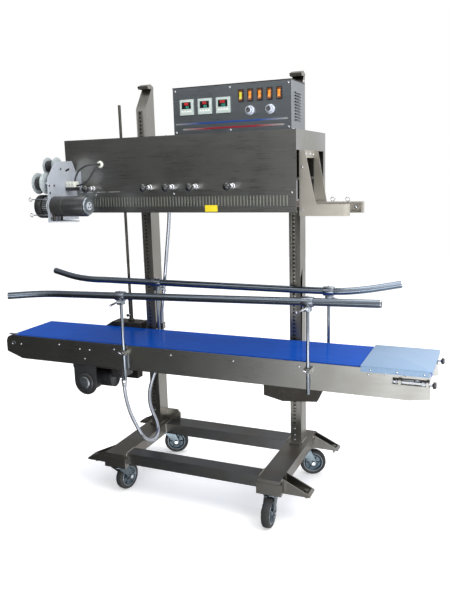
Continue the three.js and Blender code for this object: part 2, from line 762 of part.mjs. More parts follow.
// The lifting carriage: a cross beam, a saddle under each end and a sleeve on each post.
function conveyorCarriage() {
  const top = PLATE_BOTTOM - GAP;
  const saddleLow = 400;
  const beamLow = 442;
  const pieces = [
    box(-440, 410, 96, 118, beamLow, top),
    prismY([[-440, top], [-322, top], [-322, 380], [-400, 380], [-440, 400]], 60, 97),
    prismY([[190, top], [410, top], [410, 392], [392, 354], [262, 342], [190, 358]], 100, 118),
  ];
  for (const side of [-1, 1]) {
    const x = side * POST_X;
    const webRight = side < 0 ? 2 : 27;
    pieces.push(box(x - 27, x + webRight, 117, POST_FRONT, beamLow, top));
    pieces.push(postHole(side, 6, saddleLow, top));
  }
  const holes = [-1, 1].map((side) => postHole(side, POST_CLEARANCE, 300, 600));
  return cut(join(...pieces), ...holes);
}

// The flat belt: a ring round the two end rollers.
function belt() {
  const [left, right] = [DRIVE_ROLLER_X, TAIL_ROLLER_X];
  return cut(
    prismY(stadium(left, right, ROLLER_Z, BELT_OUT_R), -BELT_HALF, BELT_HALF),
    prismY(stadium(left, right, ROLLER_Z, BELT_IN_R), -BELT_HALF - 1, BELT_HALF + 1),
  );
}

function roller() {
  return join(
    rod([0, -118, 0], [0, 118, 0], ROLLER_R, 24),
    rod([0, -PLATE_OUT - 1, 0], [0, PLATE_OUT + 1, 0], AXLE_R, 12),
  );
}

// The tray over the tail roller, with a turned-down lip on three sides.
function endCover() {
  const out = PLATE_OUT + 3;
  const low = 556;
  return cut(
    box(592, CONVEYOR_HALF + 4, -out, out, low, 576),
    box(591, CONVEYOR_HALF + 1, -PLATE_OUT - GAP, PLATE_OUT + GAP, low - 1, 573.5),
    box(CONVEYOR_HALF - 1, CONVEYOR_HALF + 5, -PLATE_OUT, PLATE_OUT, low - 1, 566),
  );
}

// Gearmotor under the belt: a round-bottomed drive plate, gearbox, motor and terminal box.
function gearmotor() {
  const top = PLATE_BOTTOM - GAP;
  const [x, z, radius] = [-441, 410, 49];
  const cheek = [[x - 52, top], [x - 52, top - 10], [x - radius, top - 14]];
  for (let i = 0; i <= 8; i += 1) {
    const turn = Math.PI + (Math.PI * i) / 8;
    cheek.push([x + radius * Math.cos(turn), z + radius * Math.sin(turn)]);
  }
  cheek.push([x + radius, top]);
  const [hoseX, hoseY] = HOSE_DRIVE;
  return join(
    prismY(cheek, -120, -114),
    rod([x, -127, z], [x, -113, z], 30, 20),
    rod([x, -115, z], [x, 40, z], 40, 16),
    rod([x, -50, z + 4], [-352, -50, z + 4], 33, 16),
    box(-488, -300, -115, 30, top - 8, top),
    box(-362, -310, -66, 6, 421, top),
    rod([hoseX, hoseY, HOSE_DRIVE_Z + GAP], [hoseX, hoseY, 422], 10, 8),
  );
}

// A tension screw with a star knob outside the tail end.
function tensionScrew() {
  const knobX = CONVEYOR_HALF + 6.5;
  const arms = [];
  for (let i = 0; i < 5; i += 1) {
    const turn = (2 * Math.PI * i) / 5;
    const [y, z] = [8 * Math.cos(turn), 8 * Math.sin(turn)];
    arms.push(rod([knobX, y, z], [knobX + 11, y, z], 3.6, 8));
  }
  return join(
    rod([690, 0, 0], [knobX + 14, 0, 0], 4, 8),
    rod([knobX, 0, 0], [knobX + 11, 0, 0], 8, 10),
    rod([688, 0, 0], [702, 0, 0], 6, 8),
    ...arms,
  );
}

// A guard rail: a bent tube on two rods that slide in the clamps on the side plate.
function guardRail(points, side, feet) {
  const y = side * RAIL_Y;
  const pieces = [tube(points, RAIL_R, 18, 10)];
  ROD_X.forEach((x, i) => {
    const [low, high] = feet[i];
    pieces.push(rod([x, y, low], [x, y, high], RAIL_ROD_R, 10));
    pieces.push(box(x - 17, x + 17, y - 15, y + 14, high - 15, high + 14));
  });
  return join(...pieces);
}

const FRONT_RAIL = [
  [-720, -176, 737],
  [-610, -142, 743],
  [-540, -RAIL_Y, 745],
  [-460, -RAIL_Y, 747],
  [100, -RAIL_Y, 760],
  [652, -RAIL_Y, 773],
];
const REAR_RAIL = [
  [-786, 196, 774],
  [-650, 147, 761],
  [-560, RAIL_Y, 757],
  [-480, RAIL_Y, 757],
  [-50, RAIL_Y, 755],
  [400, RAIL_Y, 754],
  [470, RAIL_Y, 755],
  [545, 148, 761],
  [662, 196, 777],
];

part(conveyor, "conveyor_frame", conveyorFrame(), brushedSteel);
part(conveyor, "conveyor_carriage", conveyorCarriage(), darkSteel);
part(conveyor, "conveyor_belt", belt(), blueBelt);
part(conveyor, "drive_roller", roller(), zincPlate, [DRIVE_ROLLER_X, 0, ROLLER_Z]);
part(conveyor, "tail_roller", roller(), zincPlate, [TAIL_ROLLER_X, 0, ROLLER_Z]);
part(conveyor, "end_cover", endCover(), whitePlastic);
part(conveyor, "conveyor_gearmotor", gearmotor(), blackPaint);
part(conveyor, "tension_screw_front", tensionScrew(), blackPlastic, [0, -SCREW_Y, SCREW_Z]);
part(conveyor, "tension_screw_rear", tensionScrew(), blackPlastic, [0, SCREW_Y, SCREW_Z]);
part(conveyor, "front_rail", guardRail(FRONT_RAIL, -1, [[441, 751], [465, 768]]), brushedSteel);
part(conveyor, "rear_rail", guardRail(REAR_RAIL, 1, [[500, 756], [500, 754]]), brushedSteel);

// ---------------------------------------------------------------- lift rod
// The long upright rod in a sleeve, on a housing behind the belt; it passes through the head.
function liftRod() {
  const [x, y] = [LIFT_ROD_X, LIFT_ROD_Y];
  const [low, sleeveTop, rodTop] = [580, 672, 1432];
  const housing = [[-522, 556], [-470, 588], [-334, 588], [-334, 524], [-522, 524]];
  return join(
    rod([x, y, low], [x, y, rodTop], 5.5, 10),
    rod([x, y, low], [x, y, sleeveTop], 8, 10),
    prismY(housing, PLATE_OUT + GAP, 190),
  );
}

part(conveyor, "lift_rod", liftRod(), darkSteel);

// ---------------------------------------------------------------- flexible conduit
// The conduit runs from a gland in the head to a clamp on the left post, and on from there
// in a loop to the gearmotor's terminal box.
function hoseUpper() {
  const [clampX, clampY] = HOSE_CLAMP;
  const [headX, headY] = HOSE_HEAD;
  const low = HOSE_CLAMP_Z[1] + GAP;
  const high = HOSE_HEAD_Z;
  return tube(
    [
      [clampX, clampY, low],
      [clampX, clampY, low + 30],
      [-250, clampY, 680],
      [-236, clampY, 775],
      [-222, headY, 880],
      [-208, headY, 985],
      [headX, headY, high - 40],
      [headX, headY, high],
    ],
    HOSE_R,
    16,
    HOSE_SIDES,
  );
}

function hoseLower() {
  const [clampX, clampY] = HOSE_CLAMP;
  const [driveX, driveY] = HOSE_DRIVE;
  return tube(
    [
      [clampX, clampY, HOSE_CLAMP_Z[0] - GAP],
      [clampX, clampY, 545],
      [clampX, 152, 502],
      [-261, 136, 456],
      [-274, 129, 412],
      [-291, 124, 370],
      [-301, 110, 320],
      [-297, 98, 272],
      [-283, 93, 233],
      [-264, 87, 199],
      [-251, 74, 173],
      [-243, 50, 156],
      [-242, 18, 152],
      [-249, -11, 163],
      [-261, -30, 186],
      [-276, -34, 214],
      [-308, -29, 268],
      [-328, -24, 325],
      [driveX, driveY - 1, HOSE_DRIVE_Z - 28],
      [driveX, driveY, HOSE_DRIVE_Z],
    ],
    HOSE_R,
    34,
    HOSE_SIDES,
  );
}

part(frame, "hose_upper", hoseUpper(), brightSteel);
part(frame, "hose_lower", hoseLower(), brightSteel);

// ---------------------------------------------------------------- origin
// The footprint's middle goes to the origin, and the wheels stand on the floor at Z = 0.
machine.updateMatrixWorld(true);
const bounds = new THREE.Box3().setFromObject(machine, true);
const middle = bounds.getCenter(new THREE.Vector3());
machine.position.set(-middle.x, -middle.y, 0);

const bandSealer = new THREE.Group();
bandSealer.add(machine);

export default bandSealer;
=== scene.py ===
"""The looks of an upright continuous band sealer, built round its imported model.

Sizes are in millimetres in the machine's own frame: X along the belt, Y from the operator's side
to the back, Z up from the floor. Piece.done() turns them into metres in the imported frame.
"""
import json
import math

import bmesh
import bpy
from mathutils import Matrix, Vector


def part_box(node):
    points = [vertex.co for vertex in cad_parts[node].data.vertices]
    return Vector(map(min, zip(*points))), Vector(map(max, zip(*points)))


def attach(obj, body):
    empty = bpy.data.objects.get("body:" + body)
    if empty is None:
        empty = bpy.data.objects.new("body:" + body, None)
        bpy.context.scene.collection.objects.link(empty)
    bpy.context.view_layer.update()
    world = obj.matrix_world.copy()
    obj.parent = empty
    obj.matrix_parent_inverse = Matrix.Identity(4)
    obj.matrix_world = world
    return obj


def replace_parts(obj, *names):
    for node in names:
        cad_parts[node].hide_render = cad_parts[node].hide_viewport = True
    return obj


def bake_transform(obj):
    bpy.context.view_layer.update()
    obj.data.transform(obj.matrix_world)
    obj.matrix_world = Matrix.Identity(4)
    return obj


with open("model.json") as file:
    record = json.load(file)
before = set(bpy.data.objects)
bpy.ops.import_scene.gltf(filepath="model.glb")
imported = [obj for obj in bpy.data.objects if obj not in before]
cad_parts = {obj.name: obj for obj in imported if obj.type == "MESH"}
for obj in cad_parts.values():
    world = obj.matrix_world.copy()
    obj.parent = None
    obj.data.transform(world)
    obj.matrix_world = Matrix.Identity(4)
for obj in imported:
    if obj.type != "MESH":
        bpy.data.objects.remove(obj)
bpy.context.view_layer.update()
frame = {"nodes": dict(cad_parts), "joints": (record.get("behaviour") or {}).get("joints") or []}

# ---------------------------------------------------------------- driving dimensions
HEAD_LEFT = -458
HEAD_RIGHT = 388
HEAD_FRONT = -120
HEAD_REAR = 223
HEAD_TOP = 1293
POST_X = 298.5
POST_FRONT = 146
POST_HALF = 20.5
RACK_SHIFT = -4.5
RACK_TEETH = 78
RACK_PITCH = 14
PLATE_OUT = 124
BELT_Z = 538
BELT_LEFT = -764
BELT_RIGHT = 762
RAIL_R = 12.5
RAIL_ROD_R = 5.5
RAIL_Y = 131
ROD_X = (-257, 426)
PANEL = -115
CONTROLLER_X = (25.3, 88.8, 151.7)
CONTROLLER_Z = 1376
ROCKER_X = (211, 241.5, 273, 304.5, 335)
ROCKER_Z = 1400
KNOB_X = (240, 305.5)
KNOB_Z = 1355
BLUE_STRIPE_X = (-17, 361)
RED_STRIPE_X = (7, 349)
ADJUSTER_X = (-349, -121, -38, 48, 178)
ADJUSTER_Z = 1127
CODER_X = -418
CODER_Y = -248.4
CODER_Z = 1072.9
SPOOL_X = -472.3
HOSE_R = 7
CASTER_TRAIL = 36
WHEEL_R = 50
CABLE_R = 3

# Directions in which pieces face or are turned.
FRONT = (0, -1, 0)
REAR = (0, 1, 0)
LEFT = (-1, 0, 0)
RIGHT = (1, 0, 0)
UP = (0, 0, 1)

hood_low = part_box("head_cover")[0]
ORIGIN = Vector((hood_low.x - HEAD_LEFT / 1000, hood_low.y - HEAD_FRONT / 1000, 0))


def metres(point):
    """A place in the machine's millimetres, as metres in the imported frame."""
    return Vector(point) / 1000 + ORIGIN


def millimetres(point):
    return (Vector(point) - ORIGIN) * 1000


# ---------------------------------------------------------------- camera
CAMERA_PLACE = (980.5, -2044.0, 1172.7)
CAMERA_YAW = math.radians(23.59)
CAMERA_PITCH = math.radians(-11.23)
CAMERA_ROLL = math.radians(-1.61)
CAMERA_LENS = 38.84


def make_camera():
    data = bpy.data.cameras.new("camera")
    data.lens = CAMERA_LENS
    data.sensor_width = 36
    data.clip_start = 0.05
    camera = bpy.data.objects.new("camera", data)
    bpy.context.scene.collection.objects.link(camera)
    flat = math.cos(CAMERA_PITCH)
    forward = Vector((-math.sin(CAMERA_YAW) * flat, math.cos(CAMERA_YAW) * flat, math.sin(CAMERA_PITCH)))
    level = Vector((math.cos(CAMERA_YAW), math.sin(CAMERA_YAW), 0))
    rise = level.cross(forward)
    right = level * math.cos(CAMERA_ROLL) + rise * math.sin(CAMERA_ROLL)
    up = rise * math.cos(CAMERA_ROLL) - level * math.sin(CAMERA_ROLL)
    turn = Matrix((right, up, -forward)).transposed().to_4x4()
    camera.matrix_world = Matrix.Translation(metres(CAMERA_PLACE)) @ turn
    bpy.context.scene.camera = camera


# ---------------------------------------------------------------- materials
def shade(color, factor):
    return tuple(min(1.0, c * factor) for c in color[:3]) + (1.0,)


def add_node(tree, kind, **values):
    node = tree.nodes.new("ShaderNode" + kind)
    for key, value in values.items():
        setattr(node, key, value)
    return node


def stretched_noise(tree, stretch, scale, detail):
    """Noise in object space, drawn out along an axis by small numbers in stretch."""
    place = add_node(tree, "TexCoord")
    mapping = add_node(tree, "Mapping")
    mapping.inputs["Scale"].default_value = stretch
    noise = add_node(tree, "TexNoise")
    noise.inputs["Scale"].default_value = scale
    noise.inputs["Detail"].default_value = detail
    tree.links.new(place.outputs["Object"], mapping.inputs["Vector"])
    tree.links.new(mapping.outputs["Vector"], noise.inputs["Vector"])
    return noise.outputs["Fac"]


def ranged(tree, value, low, high, from_low=0.3, from_high=0.7):
    node = add_node(tree, "MapRange")
    node.inputs["From Min"].default_value = from_low
    node.inputs["From Max"].default_value = from_high
    node.inputs["To Min"].default_value = low
    node.inputs["To Max"].default_value = high
    tree.links.new(value, node.inputs["Value"])
    return node.outputs["Result"]


def mixed(tree, factor, first, second):
    node = add_node(tree, "Mix", data_type="RGBA")
    tree.links.new(factor, node.inputs["Factor"])
    for value, socket in ((first, node.inputs["A"]), (second, node.inputs["B"])):
        if isinstance(value, tuple):
            socket.default_value = value
        else:
            tree.links.new(value, socket)
    return node.outputs["Result"]


def material(name, color, metallic=0.0, roughness=0.4, size=None, spread=0.12,
        uneven=0.06, bump=0.1, depth=0.0003, stain=None, stain_share=0.35, coat=0.0,
        specular=0.5, glow=None, grain=(1, 1, 1)):
    """A surface with fine grain, a slow cloudy change of tone, and roughness that follows both."""
    size = size or (60.0 if grain == (1, 1, 1) else 1.0)
    made = bpy.data.materials.new(name)
    made.use_nodes = True
    tree = made.node_tree
    shader = tree.nodes["Principled BSDF"]
    fine = stretched_noise(tree, grain, size, 3.0)
    cloud = stretched_noise(tree, (1, 1, 1), 7.0, 3.0)
    toned = mixed(tree, ranged(tree, fine, 0, 1), shade(color, 1 - spread), shade(color, 1 + spread))
    stained = mixed(tree, ranged(tree, cloud, 0, stain_share, 0.45, 0.7), toned,
        shade(stain or color, 1.0 if stain else 1 - spread))
    tree.links.new(stained, shader.inputs["Base Color"])
    patchy = add_node(tree, "Math", operation="ADD")
    tree.links.new(ranged(tree, fine, -uneven, uneven), patchy.inputs[0])
    tree.links.new(ranged(tree, cloud, roughness - uneven / 2, roughness + uneven), patchy.inputs[1])
    tree.links.new(patchy.outputs[0], shader.inputs["Roughness"])
    relief = add_node(tree, "Bump")
    relief.inputs["Strength"].default_value = bump
    relief.inputs["Distance"].default_value = depth
    tree.links.new(fine, relief.inputs["Height"])
    tree.links.new(relief.outputs["Normal"], shader.inputs["Normal"])
    shader.inputs["Metallic"].default_value = metallic
    shader.inputs["Coat Weight"].default_value = coat
    shader.inputs["Coat Roughness"].default_value = 0.12
    shader.inputs["Specular IOR Level"].default_value = specular
    if glow:
        tree.links.new(toned, shader.inputs["Emission Color"])
        shader.inputs["Emission Strength"].default_value = glow
    return made


def stripe_material(name, color, ends):
    """A printed stripe that fades into the brushed panel at both ends, between two places along X."""
    made = material(name, color, roughness=0.35, grain=(60, 60, 1), size=6, bump=0.05)
    tree = made.node_tree
    shader = tree.nodes["Principled BSDF"]
    printed = shader.inputs["Base Color"].links[0].from_socket
    place = add_node(tree, "TexCoord")
    split = add_node(tree, "SeparateXYZ")
    tree.links.new(place.outputs["Object"], split.inputs["Vector"])
    left, right = (metres((x, 0, 0)).x for x in ends)
    fade = 0.09
    rising = ranged(tree, split.outputs["X"], 0, 1, left, left + fade)
    falling = ranged(tree, split.outputs["X"], 1, 0, right - fade, right)
    both = add_node(tree, "Math", operation="MULTIPLY")
    tree.links.new(rising, both.inputs[0])
    tree.links.new(falling, both.inputs[1])
    tree.links.new(mixed(tree, both.outputs[0], shade(STEEL, 1), printed), shader.inputs["Base Color"])
    shader.inputs["Metallic"].default_value = 0.4
    return made


ALONG_X = (14, 1500, 1500)
ALONG_Y = (1500, 14, 1500)
ALONG_Z = (1500, 1500, 14)
STEEL = (0.31, 0.31, 0.295)
OLIVE = (0.22, 0.20, 0.155)
FINE = {"bump": 0.015, "depth": 0.00005, "uneven": 0.04}

sheet_steel = material("sheet_steel", STEEL, 1.0, 0.30, grain=ALONG_X, spread=0.05, stain=OLIVE,
    stain_share=0.35, **FINE)
panel_steel = material("panel_steel", (0.25, 0.275, 0.295), 1.0, 0.30, grain=ALONG_X, spread=0.06,
    stain=(0.19, 0.185, 0.18), stain_share=0.35, **FINE)
guide_steel = material("guide_steel", (0.44, 0.415, 0.365), 0.6, 0.36, grain=ALONG_Z, spread=0.05,
    stain=(0.29, 0.265, 0.215), stain_share=0.5, **FINE)
post_steel = material("post_steel", (0.28, 0.272, 0.247), 1.0, 0.31, grain=ALONG_Z, spread=0.06,
    stain=OLIVE, stain_share=0.4, **FINE)
foot_steel = material("foot_steel", (0.20, 0.195, 0.18), 1.0, 0.34, grain=ALONG_Y, spread=0.06,
    stain=(0.14, 0.10, 0.055), stain_share=0.55, **FINE)
beam_steel = material("beam_steel", (0.15, 0.155, 0.158), 1.0, 0.34, grain=ALONG_X, spread=0.06,
    stain=(0.11, 0.09, 0.055), stain_share=0.45, **FINE)
dark_steel = material("dark_steel", (0.075, 0.07, 0.062), 1.0, 0.42, 90, 0.18, 0.1, 0.2,
    0.0004, (0.06, 0.045, 0.028), 0.4)
tube_steel = material("tube_steel", (0.19, 0.225, 0.27), 1.0, 0.27, grain=ALONG_X, spread=0.06,
    stain=(0.17, 0.17, 0.16), stain_share=0.3, **FINE)
rod_steel = material("rod_steel", (0.27, 0.30, 0.34), 1.0, 0.27, grain=ALONG_Z, spread=0.06, **FINE)
bright_steel = material("bright_steel", (0.62, 0.63, 0.66), 1.0, 0.18, 160, 0.08, 0.06, 0.06)
conduit_metal = material("conduit_metal", (0.42, 0.44, 0.48), 1.0, 0.30, 60, 0.08, 0.06, 0.05)
fork_zinc = material("fork_zinc", (0.12, 0.15, 0.17), 1.0, 0.30, 55, 0.18, 0.09, 0.10,
    stain=(0.08, 0.09, 0.09), stain_share=0.5)
zinc_plate = material("zinc_plate", (0.30, 0.33, 0.36), 1.0, 0.34, 55, 0.14, 0.09, 0.12,
    stain=(0.20, 0.19, 0.16), stain_share=0.4)
weld_metal = material("weld_metal", (0.36, 0.34, 0.30), 1.0, 0.36, 220, 0.25, 0.1, 0.35, 0.0006)
aluminium = material("aluminium", (0.60, 0.62, 0.64), 1.0, 0.30, 140, 0.1, 0.07, 0.1)
spool_clear = material("spool_clear", (0.50, 0.55, 0.56), 0.3, 0.22, 90, 0.1, 0.05, 0.05, coat=0.4)
coated_sheet = material("coated_sheet", (0.47, 0.50, 0.55), 0.25, 0.38, grain=ALONG_Z, spread=0.05,
    stain=(0.33, 0.36, 0.39), stain_share=0.45, **FINE)
motor_paint = material("motor_paint", (0.016, 0.017, 0.019), 0.0, 0.38, 340, 0.3, 0.1, 0.25,
    0.0004, (0.05, 0.047, 0.04), 0.3, coat=0.15)
caster_tyre = material("caster_tyre", (0.016, 0.017, 0.018), 0.0, 0.58, 260, 0.35, 0.1, 0.3,
    0.0004, (0.045, 0.043, 0.038), 0.35)
hub_plastic = material("hub_plastic", (0.03, 0.055, 0.075), 0.5, 0.28, 150, 0.2, 0.08, 0.1,
    stain=(0.09, 0.12, 0.14), stain_share=0.5, coat=0.3)
knob_black = material("knob_black", (0.010, 0.010, 0.011), 0.0, 0.14, 130, 0.3, 0.05, 0.04, coat=0.6)
cable_black = material("cable_black", (0.016, 0.016, 0.017), 0.0, 0.42, 300, 0.3, 0.08, 0.15)
dark_plastic = material("dark_plastic", (0.02, 0.021, 0.023), 0.0, 0.4, 320, 0.25, 0.08, 0.15)
window_black = material("window_black", (0.008, 0.008, 0.01), 0.0, 0.12, 200, 0.2, 0.03, 0.02, coat=0.5)
instrument_plastic = material("instrument_plastic", (0.46, 0.53, 0.50), 0.0, 0.42, 300, 0.07, 0.06, 0.12)
key_plastic = material("key_plastic", (0.72, 0.76, 0.72), 0.0, 0.4, 300, 0.06, 0.06, 0.1)
knob_silver = material("knob_silver", (0.56, 0.60, 0.68), 0.55, 0.28, 240, 0.08, 0.06, 0.08)
white_plastic = material("white_plastic", (0.235, 0.355, 0.52), 0.0, 0.34, 90, 0.05, 0.07, 0.04,
    stain=(0.19, 0.29, 0.43), stain_share=0.3, coat=0.1)
terminal_white = material("terminal_white", (0.72, 0.74, 0.66), 0.0, 0.4, 200, 0.08, 0.06, 0.1)
blue_belt = material("blue_belt", (0.003, 0.068, 0.40), 0.0, 0.16, 2.0, 0.12, 0.04, 0.02,
    0.0001, (0.004, 0.085, 0.46), 0.5, specular=0.03, grain=(6, 90, 90))
band_cloth = material("band_cloth", (0.085, 0.07, 0.055), 0.0, 0.5, 700, 0.25, 0.08, 0.3)
yellow_label = material("yellow_label", (0.84, 0.66, 0.02), 0.0, 0.4, 120, 0.06, 0.06, 0.05)
rocker_lime = material("rocker_lime", (0.50, 0.50, 0.03), 0.0, 0.2, 90, 0.2, 0.04, 0.03, coat=0.4,
    glow=0.25)
rocker_orange = material("rocker_orange", (0.72, 0.24, 0.02), 0.0, 0.2, 90, 0.2, 0.04, 0.03,
    coat=0.4, glow=0.25)
rocker_amber = material("rocker_amber", (0.20, 0.06, 0.01), 0.0, 0.2, 90, 0.2, 0.04, 0.03, coat=0.5)
digit_red = material("digit_red", (0.75, 0.03, 0.03), 0.0, 0.3, glow=0.5)
digit_green = material("digit_green", (0.05, 0.45, 0.32), 0.0, 0.3, glow=0.3)
blue_stripe = stripe_material("blue_stripe", (0.02, 0.07, 0.30), BLUE_STRIPE_X)
red_stripe = stripe_material("red_stripe", (0.30, 0.012, 0.03), RED_STRIPE_X)


# ---------------------------------------------------------------- mesh pieces
def on_axis(axis, u, v, w):
    """A point from two numbers of an outline and one along the axis that it is drawn out on."""
    return {"X": (w, u, v), "Y": (u, w, v), "Z": (u, v, w)}[axis]


def arc(centre, radius, start, end, steps):
    """Points on a circle, between two angles in degrees."""
    turns = [math.radians(start + (end - start) * i / steps) for i in range(steps + 1)]
    return [(centre[0] + radius * math.cos(t), centre[1] + radius * math.sin(t)) for t in turns]


def around(count, radius, start=0):
    """Evenly spaced places on a circle, from an angle in degrees."""
    turns = [math.radians(start + 360 * i / count) for i in range(count)]
    return [(radius * math.cos(t), radius * math.sin(t)) for t in turns]


def eased(profile, radius=1.2):
    """A turned profile with its inner corners rounded off."""
    points = [Vector(p) for p in profile]
    out = [points[0]]
    for before, here, after in zip(points, points[1:], points[2:]):
        back = min(radius, (before - here).length * 0.45)
        ahead = min(radius, (after - here).length * 0.45)
        first = here + (before - here).normalized() * back
        last = here + (after - here).normalized() * ahead
        out += [first, (first + last + here * 2) / 4, last]
    return [tuple(p) for p in out + [points[-1]]]


def smooth_line(points, spacing):
    """Points on a smooth line through corners, drawn as the CAD tubes are."""
    corners = [Vector(p) for p in points]
    corners = [corners[0] * 2 - corners[1]] + corners + [corners[-1] * 2 - corners[-2]]
    line = []
    for p0, p1, p2, p3 in zip(corners, corners[1:], corners[2:], corners[3:]):
        t1 = (p1 - p0).length ** 0.5
        t2 = t1 + (p2 - p1).length ** 0.5
        t3 = t2 + (p3 - p2).length ** 0.5
        count = max(2, round((p2 - p1).length / spacing))
        for i in range(count):
            t = t1 + (t2 - t1) * i / count
            a1 = p0.lerp(p1, t / t1)
            a2 = p1.lerp(p2, (t - t1) / (t2 - t1))
            a3 = p2.lerp(p3, (t - t2) / (t3 - t2))
            b1 = a1.lerp(a2, t / t2)
            b2 = a2.lerp(a3, (t - t1) / (t3 - t1))
            line.append(b1.lerp(b2, (t - t1) / (t2 - t1)))
    return line + [corners[-2]]


class Piece:
    """One visible piece, gathered from simple closed shapes in the machine's millimetres."""

    def __init__(self, name):
        self.name = name
        self.mesh = bmesh.new()
        self.materials = []

    def take(self, part, finish):
        if finish not in self.materials:
            self.materials.append(finish)
        for face in part.faces:
            face.material_index = self.materials.index(finish)
        bmesh.ops.recalc_face_normals(part, faces=part.faces[:])
        carrier = bpy.data.meshes.new("carrier")
        part.to_mesh(carrier)
        part.free()
        self.mesh.from_mesh(carrier)
        bpy.data.meshes.remove(carrier)
        return self

    def box(self, xa, xb, ya, yb, za, zb, finish, bevel=1.0):
        part = bmesh.new()
        ya, yb = sorted((ya, yb))
        bmesh.ops.create_cube(part, size=1)
        size = Vector((xb - xa, yb - ya, zb - za))
        middle = Vector((xa + xb, ya + yb, za + zb)) / 2
        part.transform(Matrix.Translation(middle) @ Matrix.Diagonal((*size, 1)))
        width = min(bevel, 0.3 * min(abs(s) for s in size))
        bmesh.ops.bevel(part, geom=part.edges[:], offset=width, segments=2, profile=0.7, affect="EDGES")
        return self.take(part, finish)

    def prism(self, points, axis, a, b, finish, bevel=0.8):
        part = bmesh.new()
        face = part.faces.new([part.verts.new(on_axis(axis, u, v, a)) for u, v in points])
        grown = bmesh.ops.extrude_face_region(part, geom=[face])
        top = [v for v in grown["geom"] if isinstance(v, bmesh.types.BMVert)]
        bmesh.ops.translate(part, verts=top, vec=Vector(on_axis(axis, 0, 0, b - a)))
        if bevel:
            sharp = [e for e in part.edges if e.calc_face_angle(0) > math.radians(40)]
            bmesh.ops.bevel(part, geom=sharp, offset=bevel, segments=2, profile=0.7, affect="EDGES",
                clamp_overlap=True)
        return self.take(part, finish)

    def lathe(self, profile, centre, axis, finish, steps=40, closed=False, wave=None):
        """Turns pairs of radius and place along the axis. wave is a count and depth of flutes."""
        part = bmesh.new()
        rings = []
        for radius, place in profile:
            if radius < 1e-6:
                rings.append([part.verts.new((0, 0, place))])
                continue
            ring = []
            for i in range(steps):
                turn = 2 * math.pi * i / steps
                out = radius * (1 + wave[1] * math.cos(wave[0] * turn)) if wave else radius
                ring.append(part.verts.new((out * math.cos(turn), out * math.sin(turn), place)))
            rings.append(ring)
        pairs = list(zip(rings, rings[1:])) + ([(rings[-1], rings[0])] if closed else [])
        for one, two in pairs:
            for i in range(steps):
                j = (i + 1) % steps
                corners = [one[i % len(one)], one[j % len(one)], two[j % len(two)], two[i % len(two)]]
                corners = list(dict.fromkeys(corners))
                if len(corners) > 2:
                    part.faces.new(corners)
        turn = Vector(UP).rotation_difference(Vector(axis)).to_matrix().to_4x4()
        part.transform(Matrix.Translation(Vector(centre)) @ turn)
        return self.take(part, finish)

    def rod(self, start, end, radius, finish, steps=24, ease=0.8):
        """A round bar with eased ends."""
        along = Vector(end) - Vector(start)
        profile = [(0, 0), (radius, 0), (radius, along.length), (0, along.length)]
        return self.lathe(eased(profile, min(ease, radius * 0.5)), start, along, finish, steps)

    def ball(self, centre, radius, finish, steps=28):
        profile = [(radius * math.sin(math.pi * i / 14),
            -radius * math.cos(math.pi * i / 14)) for i in range(15)]
        profile[0] = (0, -radius)
        profile[-1] = (0, radius)
        return self.lathe(profile, centre, UP, finish, steps)

    def ring(self, centre, axis, radius, thick, finish, steps=28):
        profile = [(radius + u, v) for u, v in arc((0, 0), thick, 0, 330, 11)]
        return self.lathe(profile, centre, axis, finish, steps, closed=True)

    def tube(self, line, radius, finish, sides=16, ribs=None):
        """A round tube along a line. ribs is a repeat in points and a depth of its corrugation."""
        part = bmesh.new()
        across = Vector((0.3, 0.2, 1)).cross(line[1] - line[0]).normalized()
        rings = []
        for i, point in enumerate(line):
            ahead = (line[min(i + 1, len(line) - 1)] - line[max(i - 1, 0)]).normalized()
            across = (across - ahead * across.dot(ahead)).normalized()
            other = ahead.cross(across)
            out = radius - (ribs[1] if ribs and i % ribs[0] else 0)
            turns = [2 * math.pi * k / sides for k in range(sides)]
            spokes = [(across * math.cos(t) + other * math.sin(t)) * out for t in turns]
            rings.append([part.verts.new(point + spoke) for spoke in spokes])
        for one, two in zip(rings, rings[1:]):
            for k in range(sides):
                j = (k + 1) % sides
                part.faces.new([one[k], one[j], two[j], two[k]])
        part.faces.new(rings[0][::-1])
        part.faces.new(rings[-1])
        return self.take(part, finish)

    def screw(self, centre, normal, radius=4.0, finish=None):
        """A domed screw head with a hexagon socket's shadow."""
        high = radius * 0.6
        head = [(0, high * 0.45), (radius * 0.36, high * 0.45), (radius * 0.42, high),
            (radius * 0.8, high * 0.8),
            (radius, high * 0.25), (radius, -0.4), (0, -0.4)]
        return self.lathe(head, centre, normal, finish or bright_steel, 18)

    def hexagon(self, centre, normal, radius, high, finish):
        return self.lathe([(0, 0), (radius, 0), (radius, high * 0.85), (radius * 0.88, high), (0, high)],
            centre, normal, finish, 6)

    def bead(self, start, end, radius=2.6):
        """A weld bead: a low rippled ridge."""
        first, last = Vector(start), Vector(end)
        count = max(4, round((last - first).length / 1.6))
        line = [first.lerp(last, i / count) for i in range(count + 1)]
        return self.tube(line, radius, weld_metal, 8, (2, 0.5))

    def moved(self, matrix):
        self.mesh.transform(matrix)
        return self

    def done(self, body, slot=None, replaces=()):
        """Makes the object, in metres, and lets it ride on a body."""
        self.mesh.transform(Matrix.Translation(ORIGIN) @ Matrix.Scale(0.001, 4))
        for edge in self.mesh.edges:
            edge.smooth = edge.calc_face_angle(0) < math.radians(38)
        for face in self.mesh.faces:
            face.smooth = True
        data = bpy.data.meshes.new(self.name)
        self.mesh.to_mesh(data)
        self.mesh.free()
        for finish in self.materials:
            data.materials.append(finish)
        made = bpy.data.objects.new(self.name, data)
        bpy.context.scene.collection.objects.link(made)
        if body:
            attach(made, body)
        if replaces:
            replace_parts(made, *replaces)
        return made


